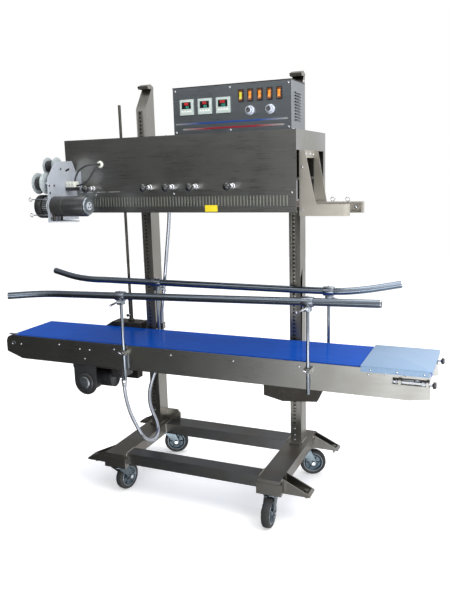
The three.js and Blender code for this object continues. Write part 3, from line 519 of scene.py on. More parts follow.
def dress(node, finish, bevel=0.8):
    """A CAD node kept as it is, with its own material, and a fine bevel on its edges."""
    made = frame["nodes"][node]
    data = made.data
    data.materials.clear()
    data.materials.append(finish)
    if "custom_normal" in data.attributes:
        data.attributes.remove(data.attributes["custom_normal"])
    for polygon in data.polygons:
        polygon.material_index = 0
        polygon.use_smooth = True
    weld = made.modifiers.new("weld", "WELD")
    weld.merge_threshold = 0.00002
    edge = made.modifiers.new("bevel", "BEVEL")
    edge.width = bevel / 1000
    edge.segments = 2
    edge.limit_method = "ANGLE"
    edge.angle_limit = math.radians(40)
    edge.harden_normals = True


# ---------------------------------------------------------------- cords
HOSE_UPPER = [
    (-259, 160, 590.3), (-259, 160, 620.3), (-250, 160, 680), (-236, 160, 775), (-222, 160, 880),
    (-208, 160, 985), (-204, 160, 1040), (-204, 160, 1080),
]
HOSE_LOWER = [
    (-259, 160, 565.7), (-259, 160, 545), (-264, 150, 500), (-269.5, 140.5, 455), (-276, 134, 412),
    (-291, 124, 370), (-301, 110, 320), (-297, 98, 272), (-283, 93, 233), (-264, 87, 199),
    (-251, 74, 173), (-243, 50, 156), (-242, 18, 152), (-249, -11, 163), (-261, -30, 186),
    (-276, -34, 214), (-308, -29, 268), (-328, -24, 325), (-335, -21, 372), (-335, -20, 400),
]
LEAD_UPPER = [
    (-314, -125, 1208), (-323, -141, 1209), (-337, -153, 1207), (-354, -161, 1201), (-372, -165, 1189),
    (-384, -166, 1173), (-388, -168, 1160), (-388, -170, 1150),
]
LEAD_LOWER = [
    (-314, -125, 1208), (-315, -138, 1202), (-321, -150, 1188), (-330, -158, 1170), (-340, -163, 1155),
    (-354, -168, 1146), (-366, -170, 1141), (-382, -171, 1139),
]


def conduit(name, points):
    """Interlocked metal conduit run between two bodies, drawn as a fixed corrugated tube that rides on
    neither.
    """
    line = smooth_line(points, 1.6)
    made = Piece(name).tube(line, HOSE_R, conduit_metal, 16, (3, 0.35)).done(None, "conduit_metal",
        [name[:-5]])
    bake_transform(made)


def lead(name, points):
    """A black lead from the grommet on the hood to the coder's terminal block."""
    line = smooth_line(points, 3)
    made = Piece(name).tube(line, CABLE_R, cable_black, 14).done("head", "cable_black")
    return made


def cords():
    conduit("hose_upper_tube", HOSE_UPPER)
    conduit("hose_lower_tube", HOSE_LOWER)
    lead("lead_upper", LEAD_UPPER)
    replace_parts(lead("lead_lower", LEAD_LOWER), "coder_cables")
    ferrule = eased([(0, 0), (HOSE_R + 1.4, 0), (HOSE_R + 2.2, 16), (HOSE_R + 4, 20), (HOSE_R + 4, 30),
        (0, 30)])
    Piece("hose_ferrule_head").lathe(ferrule, (-204, 160, 1051), UP, bright_steel).done("head",
        "bright_steel")
    Piece("hose_ferrule_drive").lathe(ferrule, (-335, -20, 371), UP, bright_steel).done(
        "conveyor", "bright_steel")


# ---------------------------------------------------------------- base
def base():
    for node in ("left_foot", "right_foot"):
        dress(node, foot_steel, 1.2)
    for node in ("front_beam", "rear_beam"):
        dress(node, beam_steel, 1.5)
    for node in ("left_post", "right_post"):
        dress(node, post_steel, 1.0)
    for side, name in ((-1, "left"), (1, "right")):
        x = side * POST_X + RACK_SHIFT
        rack = Piece(f"rack_{name}")
        rack.box(x - 5.9, x + 5.9, 150.6, 151.8, 301, 1399, dark_steel, 0.2)
        for edge in (-5.2, 5.2):
            rack.box(x + edge - 0.7, x + edge + 0.7, 146.4, 151, 301, 1399, post_steel, 0.3)
        for i in range(RACK_TEETH):
            z = 304 + i * RACK_PITCH
            rack.box(x - 5, x + 5, 146.9, 151, z, z + 7, post_steel, 0.5)
        rack.done("base", "frame_steel")
        fittings = Piece(f"post_fittings_{name}")
        for z in (178, 197, 222):
            fittings.screw((x, POST_FRONT, z), FRONT, 4.2)
        for z in (244, 262, 276, 290):
            fittings.box(x - 4.5, x + 4.5, POST_FRONT - 0.3, POST_FRONT + 0.3, z - 3, z + 3, dark_steel,
                0.1)
        for z in (1440, 1468):
            fittings.screw((side * (POST_X + POST_HALF), 196, z), (side, 0, 0), 4)
        fittings.done("base", "bright_steel")
    welds = Piece("weld_beads")
    for side in (-1, 1):
        joint = side * 260
        for ya, yb in ((-150, -95), (155, 233)):
            welds.bead((joint, ya, 164.5), (joint, yb, 164.5))
            welds.bead((joint, ya - 0.5, 124), (joint, ya - 0.5, 164))
        for ya, yb in ((-146, -104), (240, 282)):
            for y in (ya, yb):
                welds.bead((side * 340, y, 124), (side * 340, y, 161), 2.2)
        for x in (side * POST_X - POST_HALF, side * POST_X + POST_HALF):
            welds.bead((x, 148, 165), (x, 210, 165))
    welds.done("base", "frame_steel")


# ---------------------------------------------------------------- casters
def axle(y):
    """A place on the wheel's axle, for a caster that stands at the origin and trails along +X."""
    return (CASTER_TRAIL, y, WHEEL_R)


def caster_fork(tag, place):
    fork = Piece(f"fork_{tag}")
    race = [(0, 96), (7, 96), (8, 101), (24, 101), (31, 103), (34, 105.5), (34, 109.7), (0, 109.7)]
    fork.lathe(eased(race, 1), (0, 0, 0), UP, fork_zinc, 48)
    fork.ring((0, 0, 104), UP, 30, 1.6, dark_steel, 40)
    cheek = [(-20, 97), (-20, 104), (26, 104), (47.5, 53)] + arc((CASTER_TRAIL, WHEEL_R), 11.5, 10,
        -165, 12) + [(18, 60)]
    for low, high in ((16.5, 20), (-20, -16.5)):
        fork.prism(cheek, "Y", low, high, fork_zinc, 0.9)
    fork.box(-20, 26, -20, 20, 102.4, 105.6, fork_zinc, 1.4)
    fork.rod(axle(-24), axle(24), 4.5, bright_steel)
    for side in (-1, 1):
        fork.lathe(eased([(0, 0), (9, 0), (9, 1.6), (0, 1.6)], 0.5), axle(side * 20), (0, side, 0),
            fork_zinc, 30)
        fork.hexagon(axle(side * 21.6), (0, side, 0), 7.6, 5, bright_steel)
    fork.moved(place).done(f"caster_{tag}", "zinc_plate", [f"caster_fork_{tag}"])


def caster_wheel(tag, place):
    wheel = Piece(f"wheel_{tag}")
    centre = axle(0)
    tyre = [(37.5, -12), (41, -14), (45, -14.2), (48, -12), (49.6, -8), (50, -3), (50, 3), (49.6, 8),
        (48, 12),
        (45, 14.2), (41, 14), (37.5, 12)]
    wheel.lathe(tyre, centre, REAR, caster_tyre, 72, closed=True)
    hub = [(0, -15.6), (9, -15.6), (10.5, -13), (12, -9), (29, -7), (33, -11.5), (37.8, -12.6),
        (37.8, 12.6),
        (33, 11.5), (29, 7), (12, 9), (10.5, 13), (9, 15.6), (0, 15.6)]
    wheel.lathe(eased(hub, 1.2), centre, REAR, hub_plastic, 60)
    for y in (-1, 1):
        wheel.ring(axle(y * 12.4), REAR, 35.6, 1.3, zinc_plate, 60)
        wheel.lathe(eased([(0, 0), (9.6, 0), (9.6, 1.4), (0, 1.4)], 0.5), axle(y * 14.6), (0, y, 0),
            bright_steel, 30)
    for near, far in zip(around(6, 13), around(6, 29)):
        for y in (-9, 9):
            ends = [Vector(axle(y)) + Vector((u, 0, v)) for u, v in (near, far)]
            wheel.rod(*ends, 2.2, hub_plastic, 10)
    wheel.moved(place).done(f"wheel_{tag}", "caster_tyre", [f"caster_wheel_{tag}"])


def casters():
    joints = {joint["name"]: joint for joint in frame["joints"]}
    for tag in ("fl", "fr", "rl", "rr"):
        pivot = millimetres(joints[f"caster_{tag}_swivel"]["pos_m"])
        axle = millimetres(joints[f"wheel_{tag}_roll"]["pos_m"])
        swivel = math.atan2(axle.y - pivot.y, axle.x - pivot.x)
        place = Matrix.Translation((pivot.x, pivot.y, 0)) @ Matrix.Rotation(swivel, 4, "Z")
        caster_fork(tag, place)
        caster_wheel(tag, place)


# ---------------------------------------------------------------- head
def head():
    dress("head_chassis", dark_steel)
    dress("head_cover", sheet_steel, 0.9)
    dress("slot_guard", sheet_steel, 0.5)
    dress("infeed_guide", guide_steel, 0.6)
    for node in ("sealing_band_front", "sealing_band_rear"):
        dress(node, band_cloth, 0.2)
    for node in ("front_infeed", "front_drive", "rear_infeed", "rear_drive"):
        dress(f"band_wheel_{node}", bright_steel, 0.8)
    dress("sealing_blocks", aluminium)
    dress("band_motor", motor_paint, 1.2)
    fittings = Piece("hood_fittings")
    for x, z in ((-340, 1104), (-33, 1105), (374, 1104), (-448, 1104)):
        fittings.screw((x, HEAD_FRONT, z), FRONT, 3.6)
    for x in (-440, -230, -20, 190, 370):
        for z in (1066, 1278):
            fittings.screw((x, HEAD_REAR, z), REAR, 3.6)
    for y in (-100, 50, 200):
        fittings.screw((HEAD_LEFT, y, 1278), LEFT, 3.6)
    for x in (-446, -60, 376):
        for y in (-108, 211):
            fittings.screw((x, y, HEAD_TOP), UP, 3.6)
    fittings.done("head", "bright_steel")
    # A pale sheet just behind the guard's slots: painted glints that stand in for the bright inner walls of
    # the slots.
    Piece("painted_slot_glints").box(-448, 378, -113, -111.6, 1056, 1103, terminal_white, 0.3).done("head")
    Piece("hood_label").box(79, 123, -121.1, -120.1, 1046, 1067, yellow_label, 0.4).box(
        82, 120, -121.5, -121, 1048.5, 1064.5, yellow_label, 0.2).done("head")
    grommet = Piece("grommet")
    grommet.lathe(eased([(5, 0), (12, 0), (12, 3), (8, 6), (5, 6)], 1), (-314, HEAD_FRONT, 1208),
        FRONT,
        terminal_white, 32, closed=True)
    grommet.done("head", "white_plastic")
    for i, x in enumerate(ADJUSTER_X):
        adjuster(f"adjuster_{i + 1}", x)


def adjuster(node, x):
    knob = Piece(f"press_{node}")
    place = (x, HEAD_FRONT, ADJUSTER_Z)
    out = FRONT
    collar = [(0, 0), (9.5, 0), (9.5, 5), (7.5, 6), (7.5, 18), (5, 20), (5, 34), (7, 36), (7, 41), (0, 41)]
    knob.lathe(eased(collar, 0.8), place, out, bright_steel, 32)
    knob.rod((x, HEAD_FRONT + 22, ADJUSTER_Z), (x, HEAD_FRONT, ADJUSTER_Z), 4.5, bright_steel)
    knob.ball((x, HEAD_FRONT - 49, ADJUSTER_Z), 13.5, knob_black, 32)
    knob.done(node, "knob_black", [node])


def infeed():
    fittings = Piece("infeed_fittings")
    for x in (455, 505):
        fittings.rod((x, 66, 1062), (x, 66, 1069), 2.2, bright_steel, 12)
        fittings.ring((x, 66, 1074), REAR, 6.5, 1.7, bright_steel)
    fittings.screw((529, 73.5, 1048), FRONT, 6)
    for y in (-72, -24, 24, 62):
        fittings.screw((HEAD_RIGHT + 3.3, y, 1219), RIGHT, 3.6)
    for x, z in ((398, 1050), (398, 1180)):
        fittings.screw((x, -91, z), FRONT, 3.6)
    fittings.done("head", "bright_steel")


# ---------------------------------------------------------------- control box
SEGMENTS = {"0": "abcdef", "1": "bc", "2": "abged", "5": "afgcd", "6": "afgedc", "8": "abcdefg"}


def digits(piece, text, x, z, high, finish):
    """Seven-segment figures, standing proud of the instrument's window."""
    wide = high * 0.5
    thick = high * 0.14
    bars = {"a": (0, wide, high, high), "d": (0, wide, 0, 0), "g": (0, wide, high / 2, high / 2),
        "f": (0, 0, high / 2, high), "b": (wide, wide, high / 2, high), "e": (0, 0, 0, high / 2),
        "c": (wide, wide, 0, high / 2)}
    for i, figure in enumerate(text):
        left = x + i * wide * 1.75
        for name in SEGMENTS[figure]:
            xa, xb, za, zb = bars[name]
            piece.box(left + xa - thick / 2, left + xb + thick / 2, PANEL - 7.1, PANEL - 6.7,
                z + za - thick / 2, z + zb + thick / 2, finish, 0.05)


def controller(index, x):
    z = CONTROLLER_Z
    made = Piece(f"controller_{index}")
    made.box(x - 24, x + 24, PANEL - 5.4, PANEL - 0.2, z - 24, z + 24, instrument_plastic, 1.6)
    made.box(x - 21.5, x + 21.5, PANEL - 6.2, PANEL - 5, z - 21.5, z + 21.5, instrument_plastic, 1.0)
    made.box(x - 22, x + 22, PANEL - 1, PANEL + 62, z - 22, z + 22, dark_plastic, 1.2)
    made.box(x - 16, x + 16, PANEL - 6.8, PANEL - 6, z - 5, z + 16, window_black, 0.6)
    digits(made, ("180", "165", "250")[index - 1], x - 8.5, z + 7, 6.5, digit_red)
    digits(made, ("180", "160", "250")[index - 1], x - 4.5, z - 2.8, 5.5, digit_green)
    for i in range(4):
        left = x - 17.5 + i * 9.4
        made.box(left, left + 6.8, PANEL - 7.2, PANEL - 6, z - 15.5, z - 10.5, key_plastic, 0.8)
    # A thin black line just under the bezel: painted shadow cast by the instrument.
    made.box(x - 24.5, x + 24.5, PANEL - 2, PANEL - 0.1, z - 25.4, z - 24.2, window_black, 0.3)
    return made


def rocker(index, x):
    bezel = Piece(f"rocker_bezel_{index}")
    for xa, xb, za, zb in ((-9.5, -6.8, -19, 19), (6.8, 9.5, -19, 19), (-7, 7, 16.2, 19),
            (-7, 7, -19, -16.2)):
        bezel.box(x + xa, x + xb, PANEL - 3, PANEL - 0.1, ROCKER_Z + za, ROCKER_Z + zb, dark_plastic, 0.9)
    bezel.done("head")
    cap = Piece(f"rocker_cap_{index}")
    front = [(-3.4 - 3.4 * (i / 6) ** 2, 15 * i / 6) for i in range(-6, 7)]
    side = [(PANEL + y, ROCKER_Z + z) for y, z in [(7, -6), (-3, -15)] + front + [(-3, 15), (7, 6)]]
    cap.prism(side, "X", x - 6, x + 6, rocker_amber, 0.5)
    lens = [(PANEL - 3 - 3.4 * (i / 6) ** 2, ROCKER_Z + 15 * i / 6) for i in range(-4, 5)]
    lens = lens + [(y - 0.9, z) for y, z in reversed(lens)]
    cap.prism(lens, "X", x - 3.8, x + 3.8, rocker_orange if index > 1 else rocker_lime, 0.2)
    node = f"rocker_{index}"
    cap.done(node, "rocker_orange" if index > 1 else "rocker_lime", [node])


def speed_knob(index, x):
    node = f"speed_knob_{index}"
    place = (x, PANEL - 0.3, KNOB_Z)
    out = FRONT
    made = Piece(f"dial_{node}")
    made.lathe(eased([(0, 0), (15, 0), (15, 2), (12.5, 5), (0, 5)], 1), place, out, knob_silver, 48)
    made.lathe(eased([(0, 4), (11.5, 4), (11, 16), (9.5, 17.6), (0, 17.6)], 1), place, out, knob_silver, 96,
        wave=(24, 0.03))
    made.lathe([(0, 17.2), (8, 17.2), (7.6, 18.4), (0, 18.2)], place, out, bright_steel, 40)
    made.box(x - 0.8, x + 0.8, PANEL - 18.9, PANEL - 16, KNOB_Z + 1, KNOB_Z + 10.5, window_black, 0.3)
    made.rod((x, PANEL - 2, KNOB_Z), (x, PANEL + 12, KNOB_Z), 3.5, bright_steel)
    made.done(node, "knob_silver", [node])


def control_box():
    dress("control_box", panel_steel, 0.8)
    lid = Piece("box_lid")
    lid.box(-26, 374, -116.5, 21, 1436.2, 1438.4, dark_steel, 0.7)
    lid.done("head", "dark_steel")
    trim = Piece("panel_trim")
    for x in (-16, 174, 364):
        for z in (1300, 1428):
            trim.screw((x, PANEL, z), FRONT, 3.6)
    trim.done("head", "bright_steel")
    for name, (left, right), z, finish in (("panel_blue_stripe", BLUE_STRIPE_X, 1325, blue_stripe),
            ("panel_red_stripe", RED_STRIPE_X, 1308, red_stripe)):
        Piece(name).box(left, right, PANEL - 0.45, PANEL - 0.05, z - 2.5, z + 2.5, finish, 0.1).done("head")
    louvres = Piece("side_louvres")
    for i in range(10):
        z = 1321.5 + i * 9
        blade = [(372.6, z + 2.2), (376.4, z - 1.8), (376.8, z - 1.1), (373.4, z + 2.6)]
        for ya in (-78, -56, -34):
            louvres.prism(blade, "Y", ya, ya + 20, panel_steel, 0)
    for y in (-57, -35):
        louvres.box(371.2, 373.3, y - 1, y + 1, 1319, 1405, panel_steel, 0.3)
    louvres.done("head", "sheet_steel")
    for i, x in enumerate(CONTROLLER_X):
        made = controller(i + 1, x)
        if i == 1:
            made.box(CONTROLLER_X[0] - 20, CONTROLLER_X[2] + 20, -75, -65, 1366, 1386, zinc_plate, 0.8)
            made.done("head", "instrument_plastic", ["controller_bank"])
        else:
            made.done("head", "instrument_plastic")
    for i, x in enumerate(ROCKER_X):
        rocker(i + 1, x)
    for i, x in enumerate(KNOB_X):
        speed_knob(i + 1, x)


# ---------------------------------------------------------------- coder
def coder():
    dress("coder_plate", coated_sheet, 1.2)
    fittings = Piece("coder_fittings")
    for y, z in ((-272, 1142), (-246, 1142), (-270, 1118), (-274, 1034), (-140, 1080), (-140, 1150),
            (-205, 1196)):
        fittings.screw((CODER_X, y, z), RIGHT, 3.4, dark_steel)
        fittings.screw((CODER_X - 6, y, z), LEFT, 3.4, zinc_plate)
    # The slanted slot in the coder plate is drawn as a flat black shape: painted shade inside the slot.
    slot = arc((-176, 1190), 3.4, 110, 290, 8) + arc((-160, 1195), 3.4, -70, 110, 8)
    fittings.prism(slot, "X", CODER_X - 0.4, CODER_X + 0.3, window_black, 0)
    for z in (1132, 1178):
        fittings.screw((CODER_X + 12, HEAD_FRONT - 3.3, z), FRONT, 3.6)
    for z in (1046, 1098):
        fittings.rod((CODER_X - 3, -286, z), (-482, -286, z), 1.5, bright_steel, 10)
        fittings.ring((-488, -286, z), REAR, 5.6, 1.5, bright_steel)
    fittings.done("head", "bright_steel")
    block = Piece("terminal_block")
    block.box(CODER_X + 0.3, -380, -186, -156.5, 1122, 1134, dark_plastic, 1.2)
    for i in range(3):
        left = CODER_X + 1 + i * 12.3
        block.box(left, left + 11, -185, -157, 1133, 1153, terminal_white, 1.6)
        block.screw((left + 5.5, -185, 1144), FRONT, 2.6)
    block.done("head", "white_plastic")
    motor = Piece("coder_motor_body")
    place = (CODER_X + 0.3, CODER_Y, CODER_Z)
    shell = [(0, 0), (33.5, 0), (33.5, 44), (32.4, 45), (32.4, 47), (33.5, 48), (33.5, 126),
        (31, 129.5), (0, 129.5)]
    motor.lathe(shell, place, RIGHT, motor_paint, 72)
    ring = [(0, 127), (29.5, 127), (29.5, 134.5), (26, 136), (16.5, 136), (14.5, 134), (0, 134)]
    motor.lathe(eased(ring, 1), place, RIGHT, zinc_plate, 60)
    motor.lathe(eased([(0, 133), (13.8, 133), (13.8, 137.5), (0, 137.5)], 1), place, RIGHT,
        coated_sheet, 40)
    # Three thin black discs on the end face: painted shade standing in for its three holes.
    for u, v in around(3, 8, 90):
        hole = (CODER_X + 137.9, CODER_Y + u, CODER_Z + v)
        motor.lathe([(0, 0), (2.6, 0), (2.6, 0.5), (0, 0.5)], hole, RIGHT, window_black, 16)
    for y in (-20, 20):
        motor.rod((CODER_X + 8, CODER_Y + y, CODER_Z - 27), (CODER_X + 8, CODER_Y + y, 1024), 4,
            dark_steel, 14)
    motor.done("head", "motor_paint", ["coder_motor"])
    drum = Piece("print_drum")
    drum.lathe(eased([(0, -424.4), (34.5, -424.4), (36, -427), (36, -446), (34.5, -448.5), (0, -448.5)], 1),
        (0, CODER_Y, CODER_Z), RIGHT, zinc_plate, 144, wave=(36, 0.018))
    drum.lathe(eased([(0, -448), (11, -448), (11, -451), (39, -451), (39, -475), (36, -477), (0, -477)],
        1.2),
        (0, CODER_Y, CODER_Z), RIGHT, motor_paint, 64)
    drum.hexagon((-477, CODER_Y, CODER_Z), LEFT, 7, 5, bright_steel)
    drum.done("coder_drum", "bright_steel", ["coder_drum"])
    for node, y, z, radius, near in (("spool_upper", -201.6, 1206.4, 29.6, 39.1),
            ("spool_lower", -258.9, 1150.1, 35.3, 34.3)):
        spool = Piece(f"ribbon_{node}")
        place = (SPOOL_X, y, z)
        for low in (0, near - 2.4):
            rim = [(7, low), (radius - 2, low), (radius, low + 0.7), (radius, low + 1.7),
                (radius - 2, low + 2.4),
                (7, low + 2.4)]
            spool.lathe(rim, place, RIGHT, spool_clear, 64, closed=True)
        spool.lathe([(0, 1), (radius * 0.66, 1), (radius * 0.66, near - 1), (0, near - 1)], place,
            RIGHT,
            dark_plastic, 56)
        spool.rod((SPOOL_X - 3, y, z), (CODER_X - 6.3, y, z), 6, bright_steel)
        # Three thin black discs on the hub: painted shade standing in for its holes.
        for u, v in around(3, radius * 0.45, 30):
            hub = (SPOOL_X - 0.4, y + u, z + v)
            spool.lathe([(0, 0), (3.4, 0), (3.4, 0.6), (0, 0.6)], hub, LEFT, window_black, 18)
        spool.done(node, "aluminium", [node])


# ---------------------------------------------------------------- conveyor
PLATE_SCREWS = ((-771, 534), (-729, 536), (-547, 549), (-454, 539), (-411, 539), (-434, 503.5), (-303, 550),
    (-71, 549), (165, 550), (394, 553), (616, 549), (667, 556), (728, 556))


def rail_clamp(piece, x, side, z):
    """The block that holds a rail on its rod, with a small lever that stands clear of the post."""
    y = side * RAIL_Y
    piece.lathe(eased([(RAIL_R - 0.5, -19), (16.5, -19), (16.5, 19), (RAIL_R - 0.5, 19)], 1), (x, y, z),
        (1, 0, 0.02),
        rod_steel, 36, closed=True)
    piece.box(x - 11, x + 11, y - 12, y + 12, z - 31, z - 10, rod_steel, 2.5)
    piece.rod((x, y, z + 12), (x, y, z + 19), 4, bright_steel, 16)
    reach, lever = (14, 11) if side > 0 else (19, 20)
    out = y + side * lever
    piece.rod((x, y + side * 9, z - 19), (x, y + side * reach, z - 19), 6, bright_steel, 20)
    piece.rod((x - side * 2, out, z - 17), (x + side * 30, out, z - 32), 3.6, bright_steel, 16)
    piece.ball((x + side * 31, out, z - 32.5), 4.6, bright_steel, 18)


def guard_rail(node, points, side, lows):
    rail = Piece(f"{node}_tube")
    line = smooth_line(points, 12)
    rail.tube(line, RAIL_R, tube_steel, 28)
    # Each end gets a bright steel rim and, inside it, a dark disc: painted shade standing in for the open
    # tube's hollow.
    for near, far in ((line[0], line[1]), (line[-1], line[-2])):
        rim = [(RAIL_R * 0.78, -1.5), (RAIL_R + 0.2, -1.5), (RAIL_R + 0.2, 1.2), (RAIL_R * 0.78, 1.2)]
        rail.lathe(rim, near, near - far, bright_steel, 28, closed=True)
        rail.lathe([(0, 0.3), (RAIL_R * 0.8, 0.3), (RAIL_R * 0.8, -1), (0, -1)], near, near - far,
            dark_steel, 28)
    for x, low in zip(ROD_X, lows):
        top = min(line, key=lambda p: abs(p.x - x)).z
        rail.rod((x, side * RAIL_Y, low), (x, side * RAIL_Y, top - 12), RAIL_ROD_R, rod_steel)
        rail_clamp(rail, x, side, top)
    rail.done(node, "tube_steel", [node])


def belt():
    made = Piece("belt_loop")
    outer = arc((BELT_LEFT, BELT_Z), 33, 90, 270, 40) + arc((BELT_RIGHT, BELT_Z), 33, -90, 90, 40)
    inner = arc((BELT_LEFT, BELT_Z), 30, 90, 270, 40) + arc((BELT_RIGHT, BELT_Z), 30, -90, 90, 40)
    part = bmesh.new()
    rings = []
    for line, y in ((outer, -118.4), (outer, 118.4), (inner, 118.4), (inner, -118.4)):
        rings.append([part.verts.new((x, y, z)) for x, z in line])
    for one, two in zip(rings, rings[1:] + rings[:1]):
        for i in range(len(one)):
            j = (i + 1) % len(one)
            part.faces.new([one[i], one[j], two[j], two[i]])
    sharp = [e for e in part.edges if e.calc_face_angle(0) > math.radians(60)]
    bmesh.ops.bevel(part, geom=sharp, offset=0.8, segments=2, affect="EDGES")
    made.take(part, blue_belt)
    made.done("conveyor", "blue_belt", ["conveyor_belt"])


def end_cover():
    made = Piece("tail_cover")
    half = PLATE_OUT + 3
    corners = [(592, -half), (804, -half), (804, half), (592, half)]
    rounded = ([corners[0]] + arc((796, -half + 8), 8, -90, 0, 6) + arc((796, half - 8), 8, 0, 90,
        6) + [corners[3]])
    made.prism(rounded, "Z", 572.5, 576, white_plastic, 1.0)
    for side in (-1, 1):
        made.box(592, 797, side * half, side * (half - 2.4), 556, 574.5, white_plastic, 0.7)
        for x in (622, 702, 782):
            made.screw((x, side * half, 564), (0, side, 0), 3.4)
    made.box(801.6, 804, -half + 7, half - 7, 566, 574.5, white_plastic, 0.7)
    made.done("conveyor", "white_plastic", ["end_cover"])


def tension_screw(node, side):
    y, z = side * 132, 536
    made = Piece(f"{node}_set")
    count = 52
    thread = [Vector((698 + 108 * i / count, y, z)) for i in range(count + 1)]
    made.tube(thread, 4.2, bright_steel, 16, (2, 0.5))
    made.hexagon((776, y, z), RIGHT, 6.6, 10, zinc_plate)
    made.hexagon((700, y, z), RIGHT, 6.4, 5, zinc_plate)
    made.hexagon((688, y, z), RIGHT, 6.4, 4, zinc_plate)
    made.rod((690, y, z), (700, y, z), 4, bright_steel)
    star = eased([(0, 0), (6, 0), (9.6, 2), (9.8, 8.5), (7, 11.5), (0, 11.5)], 1.4)
    made.lathe(star, (806.5, y, z), RIGHT, knob_black, 60, wave=(5, 0.14))
    made.rod((806, y, z), (820.5, y, z), 4, bright_steel)
    made.done(node, "knob_black", [node])


def gearmotor():
    x, z = -441, 410
    made = Piece("gearmotor_set")
    cheek = [(x - 52, 477.4), (x - 52, 467), (x - 49, 462)] + arc((x, z), 49, 180, 360,
        28) + [(x + 49, 477.4)]
    made.prism(cheek, "Y", -120, -115, motor_paint, 1.2)
    made.lathe(eased([(0, 0), (37, 0), (37, 6), (33, 8), (12, 8), (10, 12), (0, 12)], 1.2),
        (x, -119, z), FRONT,
        motor_paint, 48)
    made.lathe(eased([(0, 0), (24, 0), (24, 1.6), (19, 3.2), (0, 3.6)], 0.8), (x, -128, z), FRONT,
        zinc_plate, 48)
    for u, v in around(4, 29, 45):
        made.screw((x + u, -127, z + v), FRONT, 2.6, dark_steel)
    made.lathe(eased([(0, 0), (40, 0), (40, 52), (36, 58), (36, 150), (28, 155), (0, 155)], 2),
        (x, -115, z),
        REAR, motor_paint, 64)
    shell = [(0, 0), (26, 0), (30, 4)]
    for i in range(10):
        shell += [(30, 6 + i * 7), (33, 6 + i * 7), (33, 9 + i * 7), (30, 9 + i * 7)]
    shell += [(30, 80), (33, 82), (33, 88), (0, 89)]
    made.lathe(shell, (x, -50, z + 4), RIGHT, motor_paint, 56)
    made.box(-488, -300, -115, 30, 469.9, 477.5, dark_steel, 1.2)
    made.box(-362, -310, -66, 6, 421, 470, motor_paint, 3)
    for sx in (-356, -316):
        for sz in (427, 464):
            made.screw((sx, -66, sz), FRONT, 2.8, zinc_plate)
    made.lathe(eased([(0, 0), (10, 0), (10, 22), (0, 22)], 1), (-335, -20, 400.3), UP,
        bright_steel, 6)
    made.done("conveyor", "motor_paint", ["conveyor_gearmotor"])


def lift_rod():
    x, y = -400, 160
    made = Piece("lift_rod_set")
    made.rod((x, y, 580), (x, y, 1432), 5.5, dark_steel, 28, 2.5)
    made.lathe(eased([(0, 0), (13, 0), (13, 6), (8.4, 9), (8.4, 84), (9.6, 86), (9.6, 92), (0, 92)], 1),
        (x, y, 588),
        UP, dark_steel, 36)
    made.rod((x, y - 6, 615), (x, y - 22, 615), 3.5, bright_steel, 16)
    made.ball((x, y - 26, 615), 6, knob_black, 22)
    housing = [(-522, 524), (-522, 556), (-470, 588), (-334, 588), (-334, 524)]
    made.prism(housing, "Y", PLATE_OUT + 0.3, 190, dark_steel, 2.5)
    for sx in (-508, -346):
        for sz in (534, 548):
            made.screw((sx, 190, sz), REAR, 3.6)
    for sx in (-450, -350):
        made.screw((sx, 176, 588), UP, 3.6)
    made.done("conveyor", "dark_steel", ["lift_rod"])


FRONT_RAIL = [(-720, -176, 737), (-610, -142, 743), (-540, -131, 745), (-460, -131, 747), (100, -131, 760),
    (652, -131, 773)]
REAR_RAIL = [(-786, 196, 774), (-650, 147, 761), (-560, 131, 757), (-480, 131, 757), (-50, 131, 755),
    (400, 131, 754), (470, 131, 755), (545, 148, 761), (662, 196, 777)]


def conveyor():
    dress("conveyor_frame", sheet_steel, 0.9)
    dress("conveyor_carriage", dark_steel, 1.2)
    dress("drive_roller", zinc_plate, 1.0)
    dress("tail_roller", zinc_plate, 1.0)
    fittings = Piece("plate_fittings")
    for x, z in PLATE_SCREWS:
        for side in (-1, 1):
            fittings.screw((x, side * PLATE_OUT, z), (0, side, 0), 3.8)
    for x in ROD_X:
        for side in (-1, 1):
            fittings.rod((x, side * 142, 544), (x, side * 152, 544), 3.4, bright_steel, 16)
            for tilt in (-1, 1):
                wing = (x + tilt * 10, side * 153, 549)
                fittings.rod((x, side * 150, 544), wing, 2.4, bright_steel, 12)
    for side in (-1, 1):
        out = side * PLATE_OUT
        fittings.box(690, 797, out, out + side * 0.7, 526, 547, dark_steel, 0.2)
        fittings.box(718, 752, out, out + side * 3, 529, 544, zinc_plate, 1.0)
    fittings.box(-250, -244, -128, -124.1, 485, 540, rod_steel, 1.0)
    fittings.box(-790, -752, -121, -105, 570.5, 572.5, bright_steel, 0.6)
    fittings.done("conveyor", "bright_steel")
    belt()
    end_cover()
    for node, side in (("tension_screw_front", -1), ("tension_screw_rear", 1)):
        tension_screw(node, side)
    gearmotor()
    lift_rod()
    guard_rail("front_rail", FRONT_RAIL, -1, (441, 465))
    guard_rail("rear_rail", REAR_RAIL, 1, (500, 500))


# ---------------------------------------------------------------- studio
def area_light(name, place, target, size, power, color=(1, 1, 1)):
    data = bpy.data.lights.new(name, "AREA")
    data.energy = power
    data.size = size
    data.color = color
    lamp = bpy.data.objects.new(name, data)
    bpy.context.scene.collection.objects.link(lamp)
    lamp.location = metres(place)
    away = metres(target) - lamp.location
    lamp.rotation_euler = away.to_track_quat("-Z", "Y").to_euler()


def product(tree, first, second):
    node = add_node(tree, "Math", operation="MULTIPLY")
    tree.links.new(first, node.inputs[0])
    tree.links.new(second, node.inputs[1])
    return node.outputs[0]


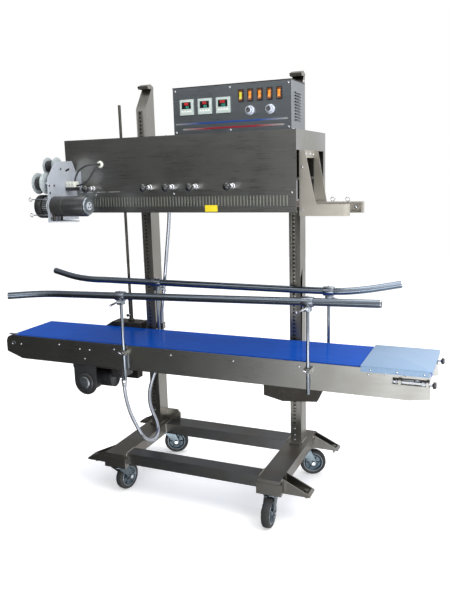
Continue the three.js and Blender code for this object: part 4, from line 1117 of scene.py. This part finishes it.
def world_light():
    """Soft light that is strong from the right, fair from above and weak from the left."""
    world = bpy.data.worlds.new("studio")
    bpy.context.scene.world = world
    world.use_nodes = True
    tree = world.node_tree
    tree.nodes.clear()
    place = add_node(tree, "TexCoord")
    split = add_node(tree, "SeparateXYZ")
    tree.links.new(place.outputs["Generated"], split.inputs["Vector"])
    right = ranged(tree, split.outputs["X"], 0.05, 1.0, -0.28, 0.04)
    high = ranged(tree, split.outputs["Z"], 0.0, 0.34, 0.02, 0.34)
    window = ranged(tree, split.outputs["X"], 0.0, 5.0, -0.25, -0.18)
    ahead = ranged(tree, split.outputs["Y"], 1.0, 0.0, -0.6, -0.3)
    low = product(tree, ranged(tree, split.outputs["Z"], 1.0, 0.0, -0.27, -0.16),
        ranged(tree, split.outputs["Z"], 0.0, 1.0, -0.46, -0.38))
    total = right
    for blend, value in (("ADD", high), ("ADD", product(tree, window, product(tree, ahead, low)))):
        node = add_node(tree, "Math", operation=blend)
        tree.links.new(total, node.inputs[0])
        tree.links.new(value, node.inputs[1])
        total = node.outputs[0]
    light = add_node(tree, "Background")
    light.inputs["Color"].default_value = (0.97, 0.98, 1.0, 1)
    tree.links.new(total, light.inputs["Strength"])
    backdrop = add_node(tree, "Background")
    backdrop.inputs["Color"].default_value = (1, 1, 1, 1)
    backdrop.inputs["Strength"].default_value = 1.0
    seen = add_node(tree, "LightPath")
    choice = add_node(tree, "MixShader")
    tree.links.new(seen.outputs["Is Camera Ray"], choice.inputs[0])
    tree.links.new(light.outputs[0], choice.inputs[1])
    tree.links.new(backdrop.outputs[0], choice.inputs[2])
    out = add_node(tree, "OutputWorld")
    tree.links.new(choice.outputs[0], out.inputs["Surface"])


def floor():
    radius = 6
    mesh = bmesh.new()
    bmesh.ops.create_circle(mesh, cap_ends=True, segments=96, radius=radius)
    data = bpy.data.meshes.new("floor")
    mesh.to_mesh(data)
    mesh.free()
    made = bpy.data.objects.new("floor", data)
    made.location = (0, 0.6, 0)
    bpy.context.scene.collection.objects.link(made)
    made.visible_glossy = False
    data.materials.append(material("floor", (0.94, 0.94, 0.94), 0.0, 0.7, size=30, spread=0.01,
        bump=0.02, glow=0.35))


def studio():
    bpy.context.scene.view_settings.view_transform = "Standard"
    world_light()
    floor()
    area_light("key", (2300, -900, 2300), (0, 0, 800), 1.6, 34)
    area_light("top", (0, 300, 3200), (0, 0, 600), 2.2, 42)
    area_light("fill", (-1200, -2600, 2900), (0, 0, 800), 1.6, 12)


make_camera()
cords()
base()
casters()
head()
infeed()
control_box()
coder()
conveyor()
studio()
